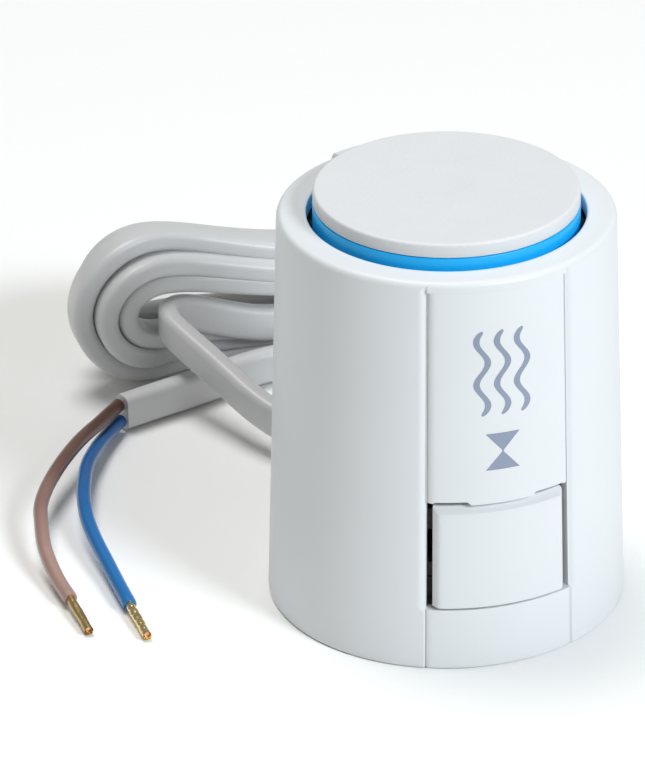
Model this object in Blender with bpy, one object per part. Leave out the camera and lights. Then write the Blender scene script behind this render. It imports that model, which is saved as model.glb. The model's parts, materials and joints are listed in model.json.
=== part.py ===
"""Electrothermal valve actuator: a wax-element actuator for a radiator or manifold valve.

The housing stands on z = 0 with its front at -Y. The indicator body (cap, blue ring, carrier, wax
element, heater and plunger) slides along Z, and the latch body (release button and latch ring)
slides along +Y when the button is pressed. Sizes are in metres.
"""

from math import asin, cos, pi, radians, sin, sqrt

import bmesh
import bpy
from mathutils import Vector

MM = 0.001
GAP = 0.3 * MM  # between pieces that touch

# ---- driving dimensions -------------------------------------------------------------------------
BASE_RADIUS = 24.0 * MM  # the housing at z = 0
RIM_RADIUS = 22.2 * MM  # the housing at its upper rim
HOUSING_HEIGHT = 55.4 * MM
WALL = 1.6 * MM
RIM_THICKNESS = 2.0 * MM
SHOULDER = 0.8 * MM  # rounding of the upper outer edge

STRIP_HALF_ANGLE = radians(25.0)  # front and rear strips between the two grooves
PANEL_BOTTOM = 24.3 * MM
PANEL_TOP_MARGIN = 1.2 * MM  # from the panels' upper end to the rim
PANEL_EDGE = 0.5 * MM  # bevel along the panel's edges
REAR_PANEL_BOTTOM = 13.0 * MM

WINDOW_BOTTOM = 8.7 * MM
BUTTON_SIDE_GAP = 0.65 * MM
BUTTON_END_GAP = 0.4 * MM
BUTTON_PROUD = 0.3 * MM
BUTTON_THICKNESS = 1.9 * MM
BUTTON_EDGE = 0.6 * MM
BUTTON_TRAVEL = 2.2 * MM

INDICATOR_TRAVEL = 3.5 * MM
CAP_PROUD = 3.25 * MM  # the raised cap above the rim
CAP_INSET = 0.05 * MM  # of the cap's edge inside the ring's
CAP_THICKNESS = 1.7 * MM
RING_RADIUS = 17.5 * MM
RING_WALL = 1.5 * MM
RING_HEIGHT = 4.2 * MM
RING_CLEARANCE = 0.8 * MM  # to the rim's opening
STEM_RADIUS = 8.0 * MM
BOSS_INSET = 5.8 * MM  # of the cap's boss inside the ring's outer face

SOCKET_RADIUS = 15.2 * MM  # takes the valve adapter
BASE_RING_HEIGHT = 11.0 * MM
SEAL_HEIGHT = 1.2 * MM
SEAL_LEVEL = 4.4 * MM
SOCKET_LIP = 0.8 * MM
SOCKET_WALL = 1.6 * MM

LATCH_THICKNESS = 2.0 * MM
LATCH_BAND = 3.8 * MM  # the latch ring's edge outside the socket
LATCH_HOLE_CLEARANCE = 0.5 * MM
LATCH_BITE = 1.25 * MM  # how far the rear lip reaches into the socket
LATCH_REAR_BAND = 1.7 * MM
TONGUE_HALF_WIDTH = 5.0 * MM

BRIDGE_BOTTOM = 18.0 * MM
BRIDGE_THICKNESS = 3.0 * MM
COLUMN_CLEARANCE = 1.4 * MM  # from the flange to the columns
COLUMN_HALF_ANGLE = radians(8.0)
FRAME_LEG_HALF_ANGLE = radians(12.0)
PISTON_SEAT_HEIGHT = 1.0 * MM
SEAT_DEPTH = 8.9 * MM  # from the rim down to the spring seat
SEAT_THICKNESS = 1.8 * MM
SEAT_HOLE_RADIUS = 11.0 * MM

CARRIER_CLEARANCE = 0.5 * MM  # over the bridge, at the lower limit
FLANGE_RADIUS = 16.0 * MM
FLANGE_THICKNESS = 1.8 * MM
CUP_RADIUS = 12.0 * MM
CUP_WALL = 1.6 * MM
CUP_CLEARANCE = 0.5 * MM  # over the heater stack
LEG_INNER = 8.4 * MM
LEG_OUTER = 11.0 * MM
LEG_HALF_WIDTH = 2.0 * MM
FOOT_RADIUS = 12.6 * MM
FOOT_THICKNESS = 2.0 * MM
PUSHER_RADIUS = 4.5 * MM
PUSHER_HEIGHT = 1.8 * MM

WAX_RADIUS = 6.2 * MM
WAX_HEIGHT = 11.6 * MM
PISTON_RADIUS = 1.9 * MM
PISTON_BITE = 5.1 * MM  # how far the piston reaches into the raised element
PISTON_CLEARANCE = 0.3 * MM
HEATER_RADIUS = 5.6 * MM
HEATER_THICKNESS = 1.6 * MM
CONTACT_THICKNESS = 0.4 * MM
INSULATOR_THICKNESS = 0.8 * MM

SPRING_RADIUS = 14.0 * MM
SPRING_WIRE = 1.8 * MM
SPRING_TURNS = 5.5
LATCH_SPRING_INSET = 1.9 * MM  # of the springs' axes inside the latch ring's edge
LATCH_SPRING_RADIUS = 1.25 * MM
LATCH_SPRING_WIRE = 0.4 * MM
LATCH_SPRING_TURNS = 6.0
LUG_THICKNESS = 1.4 * MM
LUG_Y = -3.0 * MM
POST_Y = 7.0 * MM
LUG_HALF_WIDTH = 1.2 * MM
LUG_HEIGHT = 3.3 * MM
TERMINAL_HALF_WIDTH = 4.4 * MM
TERMINAL_HEIGHT = 6.0 * MM
CLIP_X = 2.2 * MM
CLIP_HALF_SIZE = 1.1 * MM
CLIP_HEIGHT = 1.4 * MM

CABLE_WIDTH = 5.2 * MM
CABLE_THICKNESS = 3.0 * MM
CABLE_Z = 6.0 * MM
GLAND_WALL = 0.9 * MM
GLAND_PROUD = 1.6 * MM
CORE_DIAMETER = 2.0 * MM
FERRULE_DIAMETER = 1.2 * MM
FERRULE_LENGTH = 8.0 * MM

HANK_LENGTH = 74.0 * MM
HANK_HEIGHT = 25.0 * MM
HANK_DEPTH = 12.6 * MM
HANK_END_LENGTH = 14.0 * MM
HANK_LEFT = (-34.3 * MM, 66.6 * MM)  # front bottom corner at the left end

# Routes of the free cable, chosen by hand, in millimetres.
LEAD_ROUTE = (
    (0, 26.0, 6.0), (-1.0, 30.5, 5.8), (-5.6, 34.6, 5.3), (-10.2, 38.6, 5.5), (-13.8, 44.6, 6.9),
    (-16.6, 51.6, 8.8), (-19.4, 58.4, 10.5), (-21.2, 63.3, 11.7),
)
TAIL_ROUTE = (
    (32.0, 62.0, 2.9), (20.0, 62.4, 2.9), (8.0, 62.9, 2.9), (-4.0, 63.2, 2.9), (-10.7, 61.8, 2.9),
    (-18.3, 59.1, 2.9), (-24.8, 57.1, 2.9), (-30.1, 55.3, 2.9),
)
BROWN_ROUTE = (
    (-30.7, 55.4, 4.0), (-34.7, 50.2, 4.6), (-39.0, 45.1, 5.0), (-43.0, 39.8, 4.9),
    (-46.4, 34.6, 4.5), (-48.6, 30.1, 4.1), (-49.5, 26.5, 3.8), (-50.6, 20.8, 3.1),
    (-50.8, 16.3, 2.4), (-50.6, 12.3, 1.7), (-50.2, 8.3, 1.4),
)
BLUE_ROUTE = (
    (-30.6, 54.9, 1.7), (-34.2, 49.8, 2.3), (-36.8, 45.4, 2.9), (-39.2, 40.7, 3.3),
    (-41.2, 34.9, 3.5), (-42.3, 30.8, 3.4), (-43.1, 25.9, 3.0), (-43.3, 21.0, 2.5),
    (-43.2, 15.5, 2.0), (-43.1, 10.6, 1.5), (-43.0, 4.6, 1.2),
)
BROWN_TIP = (-49.8, 0.3, 0.8)
BLUE_TIP = (-42.8, -3.5, 0.8)

SEGMENTS = 72
SMALL_SEGMENTS = 36


# ---- derived fits -------------------------------------------------------------------------------
def outer_radius(z):
    """The housing's outer radius at height z."""
    return BASE_RADIUS + (RIM_RADIUS - BASE_RADIUS) * z / HOUSING_HEIGHT


def inner_radius(z):
    return outer_radius(z) - WALL


def pressed_reach(z):
    """How far forward a piece at height z may come behind the pressed button's ends."""
    back = outer_radius(z) + BUTTON_PROUD - BUTTON_THICKNESS
    return sqrt(back**2 - BUTTON_HALF_WIDTH**2) - BUTTON_TRAVEL - 2 * GAP


OPENING_RADIUS = RING_RADIUS + RING_CLEARANCE
PANEL_TOP = HOUSING_HEIGHT - PANEL_TOP_MARGIN
WINDOW_TOP = PANEL_BOTTOM - GAP
WINDOW_HALF_WIDTH = outer_radius((WINDOW_BOTTOM + WINDOW_TOP) / 2) * sin(STRIP_HALF_ANGLE)
BUTTON_HALF_WIDTH = WINDOW_HALF_WIDTH - BUTTON_SIDE_GAP
BUTTON_BOTTOM = WINDOW_BOTTOM + BUTTON_END_GAP
BUTTON_TOP = WINDOW_TOP - BUTTON_END_GAP
LATCH_BOTTOM = BASE_RING_HEIGHT + GAP
LATCH_TOP = LATCH_BOTTOM + LATCH_THICKNESS
LATCH_RADIUS = SOCKET_RADIUS + LATCH_BAND
LATCH_HOLE_RADIUS = SOCKET_RADIUS + LATCH_HOLE_CLEARANCE
LATCH_REAR = SOCKET_RADIUS + LATCH_REAR_BAND
LATCH_SPRING_X = LATCH_RADIUS - LATCH_SPRING_INSET
LATCH_HOLE_Y = SOCKET_RADIUS - LATCH_BITE - LATCH_HOLE_RADIUS
BUTTON_BACK = outer_radius(LATCH_TOP) + BUTTON_PROUD - BUTTON_THICKNESS
TONGUE_REACH = sqrt(BUTTON_BACK**2 - TONGUE_HALF_WIDTH**2) - GAP
BRIDGE_TOP = BRIDGE_BOTTOM + BRIDGE_THICKNESS
BRIDGE_OUTER = inner_radius(BRIDGE_TOP) - GAP
SEAT_BOTTOM = HOUSING_HEIGHT - SEAT_DEPTH
COLUMN_INNER = FLANGE_RADIUS + COLUMN_CLEARANCE
COLUMN_OUTER = inner_radius(SEAT_BOTTOM) - GAP
SEAT_TOP = SEAT_BOTTOM + SEAT_THICKNESS
CARRIER_BOTTOM = BRIDGE_TOP + INDICATOR_TRAVEL + CARRIER_CLEARANCE
FLANGE_TOP = CARRIER_BOTTOM + FLANGE_THICKNESS
FOOT_TOP = BRIDGE_BOTTOM - GAP
FOOT_BOTTOM = FOOT_TOP - FOOT_THICKNESS
WAX_BOTTOM = CARRIER_BOTTOM + FLANGE_THICKNESS / 2
WAX_TOP = WAX_BOTTOM + WAX_HEIGHT
PISTON_TOP = WAX_BOTTOM + PISTON_BITE
STACK_HEIGHT = 2 * CONTACT_THICKNESS + HEATER_THICKNESS + INSULATOR_THICKNESS + 4 * GAP
CUP_TOP = WAX_TOP + STACK_HEIGHT + CUP_CLEARANCE + CUP_WALL
CAP_RADIUS = RING_RADIUS - CAP_INSET
BOSS_RADIUS = RING_RADIUS - BOSS_INSET
CAP_TOP = HOUSING_HEIGHT + CAP_PROUD
CAP_BOTTOM = CAP_TOP - CAP_THICKNESS
RING_TOP = CAP_BOTTOM - GAP
RING_BOTTOM = RING_TOP - RING_HEIGHT
TOP_SEAL_TOP = RING_BOTTOM - GAP
GLAND_HALF_SIDE = CABLE_WIDTH / 2 + GLAND_WALL
LEAD_X = 1.4 * MM
LEAD_RADIUS = 0.6 * MM
LEAD_Y = max(LATCH_REAR + BUTTON_TRAVEL, FLANGE_RADIUS + 5 * LEAD_RADIUS) + GAP + LEAD_RADIUS
CLAMP_TOP = CABLE_Z + CABLE_WIDTH / 2 + 0.8 * MM
TERMINAL_TOP = BRIDGE_TOP + GAP + TERMINAL_HEIGHT


# ---- materials ----------------------------------------------------------------------------------
def material(name, colour, roughness, metallic=0.0):
    found = bpy.data.materials.get(name)
    if found:
        return found
    made = bpy.data.materials.new(name)
    made.use_nodes = True
    shader = made.node_tree.nodes["Principled BSDF"]
    shader.inputs["Base Color"].default_value = (*colour, 1.0)
    shader.inputs["Roughness"].default_value = roughness
    shader.inputs["Metallic"].default_value = metallic
    made.diffuse_color = (*colour, 1.0)
    return made


def white_plastic():
    return material("white_plastic", (0.86, 0.88, 0.89), 0.42)


def cap_plastic():
    return material("cap_plastic", (0.78, 0.80, 0.81), 0.55)


def blue_plastic():
    return material("blue_plastic", (0.0, 0.33, 0.95), 0.35)


def frame_plastic():
    return material("frame_plastic", (0.28, 0.29, 0.31), 0.5)


def rubber():
    return material("rubber", (0.03, 0.03, 0.03), 0.7)


def spring_steel():
    return material("spring_steel", (0.56, 0.57, 0.58), 0.3, 1.0)


def brass():
    return material("brass", (0.83, 0.62, 0.25), 0.3, 1.0)


def copper_alloy():
    return material("copper_alloy", (0.85, 0.50, 0.32), 0.35, 1.0)


def heater_ceramic():
    return material("heater_ceramic", (0.16, 0.15, 0.15), 0.6)


def cable_sheath():
    return material("cable_sheath", (0.82, 0.84, 0.84), 0.45)


def brown_insulation():
    return material("brown_insulation", (0.22, 0.09, 0.06), 0.35)


def blue_insulation():
    return material("blue_insulation", (0.01, 0.10, 0.48), 0.35)


def gold_tin():
    return material("gold_tin", (0.80, 0.62, 0.30), 0.3, 1.0)


# ---- building helpers ---------------------------------------------------------------------------
def finish(name, bm, paint, smooth=True, parent=None):
    """Turns a bmesh into a named object with its material."""
    bmesh.ops.remove_doubles(bm, verts=bm.verts, dist=1e-6)
    bmesh.ops.recalc_face_normals(bm, faces=bm.faces)
    mesh = bpy.data.meshes.new(name)
    bm.to_mesh(mesh)
    bm.free()
    if smooth:
        mesh.shade_smooth()
        mesh.set_sharp_from_angle(angle=radians(30))
    mesh.materials.append(paint)
    made = bpy.data.objects.new(name, mesh)
    bpy.context.scene.collection.objects.link(made)
    if parent:
        made.parent = parent
    return made


def loft(sections, closed):
    """A bmesh through equal rings of points. Closed joins the last ring to the first."""
    bm = bmesh.new()
    rings = [[bm.verts.new(point) for point in section] for section in sections]
    count = len(rings[0])
    pairs = zip(rings, rings[1:] + rings[:1]) if closed else zip(rings, rings[1:])
    for ring, following in pairs:
        for i in range(count):
            j = (i + 1) % count
            bm.faces.new((ring[i], ring[j], following[j], following[i]))
    if not closed:
        bm.faces.new(rings[0])
        bm.faces.new(reversed(rings[-1]))
    return bm


def turned(name, profile, paint, segments=SEGMENTS, centre=(0.0, 0.0), parent=None):
    """A closed (radius, z) outline spun once round. An outline may start and end on the axis."""
    bm = bmesh.new()
    points = [bm.verts.new((r, 0.0, z)) for r, z in profile]
    edges = [bm.edges.new(pair) for pair in zip(points, points[1:])]
    if profile[0][0] > 0:
        edges.append(bm.edges.new((points[-1], points[0])))
    bmesh.ops.spin(
        bm, geom=points + edges, cent=(0, 0, 0), axis=(0, 0, 1), angle=2 * pi, steps=segments
    )
    bmesh.ops.translate(bm, verts=bm.verts, vec=(*centre, 0.0))
    return finish(name, bm, paint, parent=parent)


def sector(name, profile, half_angle, facing, paint, steps=10, parent=None):
    """A closed (radius, z) outline swept over an arc centred on the direction facing."""
    sections = []
    for i in range(steps + 1):
        angle = facing + half_angle * (2 * i / steps - 1)
        sections.append([(r * cos(angle), r * sin(angle), z) for r, z in profile])
    return finish(name, loft(sections, False), paint, parent=parent)


def box(name, low, high, paint, parent=None):
    (x0, y0, z0), (x1, y1, z1) = low, high
    sections = [[(x0, y0, z), (x1, y0, z), (x1, y1, z), (x0, y1, z)] for z in (z0, z1)]
    return finish(name, loft(sections, False), paint, smooth=False, parent=parent)


def cylinder(name, radius, low, high, paint, centre=(0.0, 0.0), segments=SMALL_SEGMENTS):
    profile = [(0.0, high), (radius, high), (radius, low), (0.0, low)]
    return turned(name, profile, paint, segments, centre)


def combine(target, tool, operation="DIFFERENCE"):
    """Adds a Boolean to target. The tool object is kept as a hidden helper."""
    tool.hide_render = True
    tool.display_type = "WIRE"
    modifier = target.modifiers.new(tool.name, "BOOLEAN")
    modifier.object = tool
    modifier.operation = operation
    modifier.solver = "EXACT"
    return target


def bevel(target, width, segments=2, angle=40):
    modifier = target.modifiers.new("edges", "BEVEL")
    modifier.width = width
    modifier.segments = segments
    modifier.limit_method = "ANGLE"
    modifier.angle_limit = radians(angle)
    return target


def smooth_route(points, spacing):
    """Points about one spacing apart on a Catmull-Rom curve through the route, in metres."""
    knots = [Vector(p) * MM for p in points]
    knots = [2 * knots[0] - knots[1]] + knots + [2 * knots[-1] - knots[-2]]
    found = []
    for a, b, c, d in zip(knots, knots[1:], knots[2:], knots[3:]):
        steps = max(1, round((c - b).length / spacing))
        for i in range(steps):
            t = i / steps
            found.append(
                0.5
                * (
                    2 * b
                    + (c - a) * t
                    + (2 * a - 5 * b + 4 * c - d) * t**2
                    + (3 * b - a - 3 * c + d) * t**3
                )
            )
    return found + [knots[-2]]


def tube(name, points, diameter, paint, sides=2):
    """A curve tube with filled caps through the points, in metres."""
    curve = bpy.data.curves.new(name, "CURVE")
    curve.dimensions = "3D"
    curve.bevel_depth = diameter / 2
    curve.bevel_resolution = sides
    curve.use_fill_caps = True
    spline = curve.splines.new("POLY")
    spline.points.add(len(points) - 1)
    for vertex, point in zip(spline.points, points):
        vertex.co = (*point, 1.0)
    curve.materials.append(paint)
    made = bpy.data.objects.new(name, curve)
    bpy.context.scene.collection.objects.link(made)
    return made


def coil_spring(name, centre_line, wire, paint, sides=8):
    """A closed wire swept along the centre line."""
    sections = []
    for i, point in enumerate(centre_line):
        ahead = centre_line[min(i + 1, len(centre_line) - 1)] - centre_line[max(i - 1, 0)]
        side = ahead.cross(Vector((0.3, 0.2, 1.0))).normalized()
        up = side.cross(ahead).normalized()
        ring = [
            point + wire / 2 * (cos(2 * pi * k / sides) * side + sin(2 * pi * k / sides) * up)
            for k in range(sides)
        ]
        sections.append(ring)
    return finish(name, loft(sections, False), paint)


# ---- housing ------------------------------------------------------------------------------------
def strip_cutter(name, bottom, top, facing):
    """A wedge through the wall, as wide as the strip."""
    low = min(BASE_RADIUS - 3 * WALL, inner_radius(top) - GAP)
    high = BASE_RADIUS + WALL
    profile = [(low, bottom), (high, bottom), (high, top), (low, top)]
    return sector(name, profile, STRIP_HALF_ANGLE, facing, white_plastic())


def shell_profile(outer, inner, top, thickness):
    """The (radius, z) outline of the conical shell with its inward rim."""
    rounding = [
        (outer(top) - SHOULDER + SHOULDER * cos(a), top - SHOULDER + SHOULDER * sin(a))
        for a in (0.0, pi / 6, pi / 3, pi / 2)
    ]
    return [
        (OPENING_RADIUS, top),
        *reversed(rounding),
        (outer(0.0), 0.0),
        (inner(0.0), 0.0),
        (inner(top - thickness), top - thickness),
        (OPENING_RADIUS, top - thickness),
    ]


def housing():
    profile = shell_profile(outer_radius, inner_radius, HOUSING_HEIGHT, RIM_THICKNESS)
    made = turned("housing", profile, white_plastic())
    combine(made, strip_cutter("front_panel_cut", PANEL_BOTTOM, PANEL_TOP, -pi / 2))
    combine(made, strip_cutter("rear_panel_cut", REAR_PANEL_BOTTOM, PANEL_TOP, pi / 2))
    window_top = PANEL_BOTTOM + WALL
    window_depth = min(BASE_RADIUS - 4 * WALL, inner_radius(window_top) * cos(STRIP_HALF_ANGLE) - GAP)
    window = box(
        "window_cut",
        (-WINDOW_HALF_WIDTH, -BASE_RADIUS - WALL, WINDOW_BOTTOM),
        (WINDOW_HALF_WIDTH, -window_depth, window_top),
        white_plastic(),
    )
    combine(made, window)
    gland = box(
        "gland_cut",
        (-GLAND_HALF_SIDE - GAP, BASE_RADIUS - 4 * WALL, CABLE_Z - GLAND_HALF_SIDE - GAP),
        (GLAND_HALF_SIDE + GAP, BASE_RADIUS + WALL, CABLE_Z + GLAND_HALF_SIDE + GAP),
        white_plastic(),
    )
    return combine(made, gland)


def panel(name, bottom, facing):
    """A strip of the wall between the two grooves, a gap clear of the housing all round."""
    low, high = bottom + GAP, PANEL_TOP - GAP
    profile = [
        (inner_radius(low), low),
        (outer_radius(low), low),
        (outer_radius(high), high),
        (inner_radius(high), high),
    ]
    half_angle = STRIP_HALF_ANGLE - GAP / RIM_RADIUS
    return bevel(sector(name, profile, half_angle, facing, white_plastic(), 12), PANEL_EDGE)


def base_ring():
    """The socket for the valve adapter, open above the front window and at the cable."""
    top = BASE_RING_HEIGHT
    profile = [
        (SOCKET_RADIUS, top),
        (inner_radius(top) - GAP, top),
        (inner_radius(0.0) - GAP, GAP),
        (SOCKET_RADIUS + SOCKET_LIP, GAP),
        (SOCKET_RADIUS, GAP + SOCKET_LIP),
    ]
    made = turned("base_ring", profile, frame_plastic())
    front = box(
        "base_front_cut",
        (-BASE_RADIUS, -BASE_RADIUS, WINDOW_BOTTOM - GAP),
        (BASE_RADIUS, -pressed_reach(top), top + GAP),
        frame_plastic(),
    )
    combine(made, front)
    rear = box(
        "base_clamp_cut",
        (-GLAND_HALF_SIDE - 2 * GAP, SOCKET_RADIUS + SOCKET_WALL, CABLE_Z - GLAND_HALF_SIDE - GAP),
        (GLAND_HALF_SIDE + 2 * GAP, BASE_RADIUS, top + GAP),
        frame_plastic(),
    )
    combine(made, rear)
    groove = turned(
        "seal_groove",
        [
            (SOCKET_RADIUS - WALL, SEAL_LEVEL + SEAL_HEIGHT),
            (SOCKET_RADIUS + WALL / 2, SEAL_LEVEL + SEAL_HEIGHT),
            (SOCKET_RADIUS + WALL / 2, SEAL_LEVEL),
            (SOCKET_RADIUS - WALL, SEAL_LEVEL),
        ],
        frame_plastic(),
    )
    return combine(made, groove)


def base_seal():
    """A ring in the socket's groove that keeps the adapter tight."""
    low = SEAL_LEVEL + GAP
    high = low + SEAL_HEIGHT - 2 * GAP
    inner = SOCKET_RADIUS + 0.1 * MM
    outer = SOCKET_RADIUS + WALL / 2 - GAP
    return turned("base_seal", [(inner, high), (outer, high), (outer, low), (inner, low)], rubber(), 64)


def top_seal():
    """The wiper that the blue ring runs through, under the rim."""
    low, high = SEAT_TOP + GAP, TOP_SEAL_TOP
    thick = 1.5 * MM
    low = max(low, high - thick)
    inner = RING_RADIUS + GAP
    outer = inner_radius(high) - GAP
    return turned("top_seal", [(inner, high), (outer, high), (outer, low), (inner, low)], rubber(), 64)


# ---- fixed inner frame --------------------------------------------------------------------------
def bridge():
    """The fixed frame: a disc across the housing, two side legs, four columns and a piston boss."""
    low, high = BRIDGE_BOTTOM, BRIDGE_TOP
    paint = frame_plastic()
    profile = [(0.0, high), (BRIDGE_OUTER, high), (BRIDGE_OUTER, low), (0.0, low)]
    made = turned("bridge", profile, paint)
    front = box(
        "bridge_front_cut",
        (-BUTTON_HALF_WIDTH - 2 * GAP, -BASE_RADIUS, low - MM),
        (BUTTON_HALF_WIDTH + 2 * GAP, -pressed_reach(high), high + MM),
        paint,
    )
    combine(made, front)
    lead_notch = LEAD_RADIUS + GAP
    notch = box(
        "bridge_lead_cut",
        (-LEAD_X - lead_notch, LEAD_Y - lead_notch, low - MM),
        (LEAD_X + lead_notch, BASE_RADIUS, high + MM),
        paint,
    )
    combine(made, notch)
    for side, sign in (("left", -1), ("right", 1)):
        xs = sorted((sign * (LEG_INNER - 2 * GAP), sign * (LEG_OUTER + 2 * GAP)))
        slot = box(
            f"slot_{side}",
            (xs[0], -LEG_HALF_WIDTH - 2 * GAP, low - MM),
            (xs[1], LEG_HALF_WIDTH + 2 * GAP, high + MM),
            paint,
        )
        combine(made, slot)
        leg_inner = LATCH_RADIUS + 2 * GAP
        profile = [
            (leg_inner, LATCH_BOTTOM), (BRIDGE_OUTER, LATCH_BOTTOM), (BRIDGE_OUTER, low + MM),
            (leg_inner, low + MM),
        ]
        facing = pi / 2 - sign * pi / 2
        leg = sector(f"leg_{side}", profile, FRAME_LEG_HALF_ANGLE, facing, paint, 4)
        combine(made, leg, "UNION")
        xs = sorted((sign * (LATCH_SPRING_X - LUG_HALF_WIDTH), sign * (LATCH_SPRING_X + LUG_HALF_WIDTH)))
        post = box(
            f"spring_post_{side}",
            (xs[0], POST_Y, low - LUG_HEIGHT),
            (xs[1], POST_Y + LUG_THICKNESS, low + MM),
            paint,
        )
        combine(made, post, "UNION")
    for i in range(4):
        profile = [
            (COLUMN_INNER, high - MM), (COLUMN_OUTER, high - MM),
            (COLUMN_OUTER, SEAT_BOTTOM - GAP), (COLUMN_INNER, SEAT_BOTTOM - GAP),
        ]
        column = sector(f"column_{i}", profile, COLUMN_HALF_ANGLE, pi / 4 + i * pi / 2, paint, 3)
        combine(made, column, "UNION")
    boss = cylinder("boss", 2 * PISTON_RADIUS, high - MM, high + PISTON_SEAT_HEIGHT, paint)
    return combine(made, boss, "UNION")


def piston():
    low = BRIDGE_TOP + PISTON_SEAT_HEIGHT + GAP
    return cylinder("piston", PISTON_RADIUS, low, PISTON_TOP, spring_steel(), segments=24)


def spring_seat():
    outer = COLUMN_OUTER
    profile = [
        (SEAT_HOLE_RADIUS, SEAT_TOP), (outer, SEAT_TOP), (outer, SEAT_BOTTOM),
        (SEAT_HOLE_RADIUS, SEAT_BOTTOM),
    ]
    return turned("spring_seat", profile, spring_steel(), 64)


def main_spring():
    """The compression spring between the carrier's flange and the seat, its ends closed."""
    low = FLANGE_TOP + GAP + SPRING_WIRE / 2
    high = SEAT_BOTTOM - GAP - SPRING_WIRE / 2
    steps = int(SPRING_TURNS * 18)
    line = []
    for i in range(steps + 1):
        turn = SPRING_TURNS * i / steps
        rise = min(max((turn - 0.7) / (SPRING_TURNS - 1.4), 0.0), 1.0)
        angle = 2 * pi * turn
        height = low + (high - low) * rise
        line.append(Vector((SPRING_RADIUS * cos(angle), SPRING_RADIUS * sin(angle), height)))
    return coil_spring("main_spring", line, SPRING_WIRE, spring_steel())


def latch_spring(side, sign):
    start = LUG_Y + LUG_THICKNESS + GAP + LATCH_SPRING_WIRE / 2
    end = POST_Y - GAP - LATCH_SPRING_WIRE / 2
    height = BRIDGE_BOTTOM - GAP - LATCH_SPRING_RADIUS - LATCH_SPRING_WIRE
    steps = int(LATCH_SPRING_TURNS * 9)
    line = []
    for i in range(steps + 1):
        angle = 2 * pi * LATCH_SPRING_TURNS * i / steps
        x = sign * LATCH_SPRING_X + LATCH_SPRING_RADIUS * cos(angle)
        z = height + LATCH_SPRING_RADIUS * sin(angle)
        line.append(Vector((x, start + (end - start) * i / steps, z)))
    return coil_spring(f"latch_spring_{side}", line, LATCH_SPRING_WIRE, spring_steel(), 6)


# ---- moving indicator body ----------------------------------------------------------------------
def indicator_cap(parent):
    """The disc on top, with rounded edge and a boss down to the stem."""
    edge = 0.6 * MM
    rounding = [
        (CAP_RADIUS - edge + edge * sin(a), CAP_TOP - edge + edge * cos(a))
        for a in (0.0, pi / 6, pi / 3, pi / 2)
    ]
    boss_low = RING_BOTTOM + GAP
    profile = [
        (0.0, CAP_TOP), *rounding, (CAP_RADIUS, CAP_BOTTOM), (BOSS_RADIUS, CAP_BOTTOM),
        (BOSS_RADIUS, boss_low), (0.0, boss_low),
    ]
    return turned("indicator_cap", profile, cap_plastic(), parent=parent)


def indicator_ring(parent):
    """The blue sleeve under the cap, with an inward flange round the cap's boss."""
    flange = 1.5 * MM
    inner, bore = BOSS_RADIUS + GAP, RING_RADIUS - RING_WALL
    profile = [
        (inner, RING_TOP), (RING_RADIUS, RING_TOP), (RING_RADIUS, RING_BOTTOM),
        (bore, RING_BOTTOM), (bore, RING_TOP - flange), (inner, RING_TOP - flange),
    ]
    return turned("indicator_ring", profile, blue_plastic(), parent=parent)


def carrier(parent):
    """The moving cup round the wax element: flange for the spring, stem to the cap, two legs."""
    paint = frame_plastic()
    bore = CUP_RADIUS - CUP_WALL
    stem_top = RING_BOTTOM
    profile = [
        (0.0, stem_top), (STEM_RADIUS, stem_top), (STEM_RADIUS, CUP_TOP), (CUP_RADIUS, CUP_TOP),
        (CUP_RADIUS, FLANGE_TOP), (FLANGE_RADIUS, FLANGE_TOP), (FLANGE_RADIUS, CARRIER_BOTTOM),
        (bore, CARRIER_BOTTOM), (bore, CUP_TOP - CUP_WALL), (0.0, CUP_TOP - CUP_WALL),
    ]
    made = turned("carrier", profile, paint, 64, parent=parent)
    for side, sign in (("left", -1), ("right", 1)):
        xs = sorted((sign * LEG_INNER, sign * LEG_OUTER))
        leg = box(
            f"carrier_leg_{side}",
            (xs[0], -LEG_HALF_WIDTH, FOOT_TOP + GAP),
            (xs[1], LEG_HALF_WIDTH, FLANGE_TOP),
            paint,
        )
        combine(made, leg, "UNION")
    return made


def wax_element(parent):
    """The thermostatic element, bored for the fixed piston, its collar under the carrier's cup."""
    bore = PISTON_RADIUS + PISTON_CLEARANCE
    depth = PISTON_TOP + INDICATOR_TRAVEL + GAP
    neck = bore + 1.2 * MM
    shoulder = WAX_BOTTOM + 2.0 * MM
    profile = [
        (0.0, WAX_TOP), (WAX_RADIUS, WAX_TOP), (WAX_RADIUS, shoulder), (neck, shoulder),
        (neck, WAX_BOTTOM), (bore, WAX_BOTTOM), (bore, depth), (0.0, depth),
    ]
    return turned("wax_element", profile, brass(), 48, parent=parent)


def stack(parent):
    """Contact, heater, contact and insulator, one above the other on the wax element."""
    level = WAX_TOP + GAP
    plan = (
        ("contact_lower", HEATER_RADIUS, CONTACT_THICKNESS, copper_alloy()),
        ("ptc_heater", HEATER_RADIUS, HEATER_THICKNESS, heater_ceramic()),
        ("contact_upper", HEATER_RADIUS, CONTACT_THICKNESS, copper_alloy()),
        ("insulator_disc", CUP_RADIUS - CUP_WALL - 2 * GAP, INSULATOR_THICKNESS, cap_plastic()),
    )
    for name, radius, thickness, paint in plan:
        profile = [(0.0, level + thickness), (radius, level + thickness), (radius, level), (0.0, level)]
        turned(name, profile, paint, SMALL_SEGMENTS, parent=parent)
        level += thickness + GAP


def plunger(parent):
    """The foot that presses on the valve pin."""
    low = FOOT_BOTTOM - PUSHER_HEIGHT
    profile = [
        (0.0, FOOT_TOP), (FOOT_RADIUS, FOOT_TOP), (FOOT_RADIUS, FOOT_BOTTOM),
        (PUSHER_RADIUS, FOOT_BOTTOM), (PUSHER_RADIUS, low), (0.0, low),
    ]
    return turned("plunger", profile, frame_plastic(), 64, parent=parent)


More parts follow.
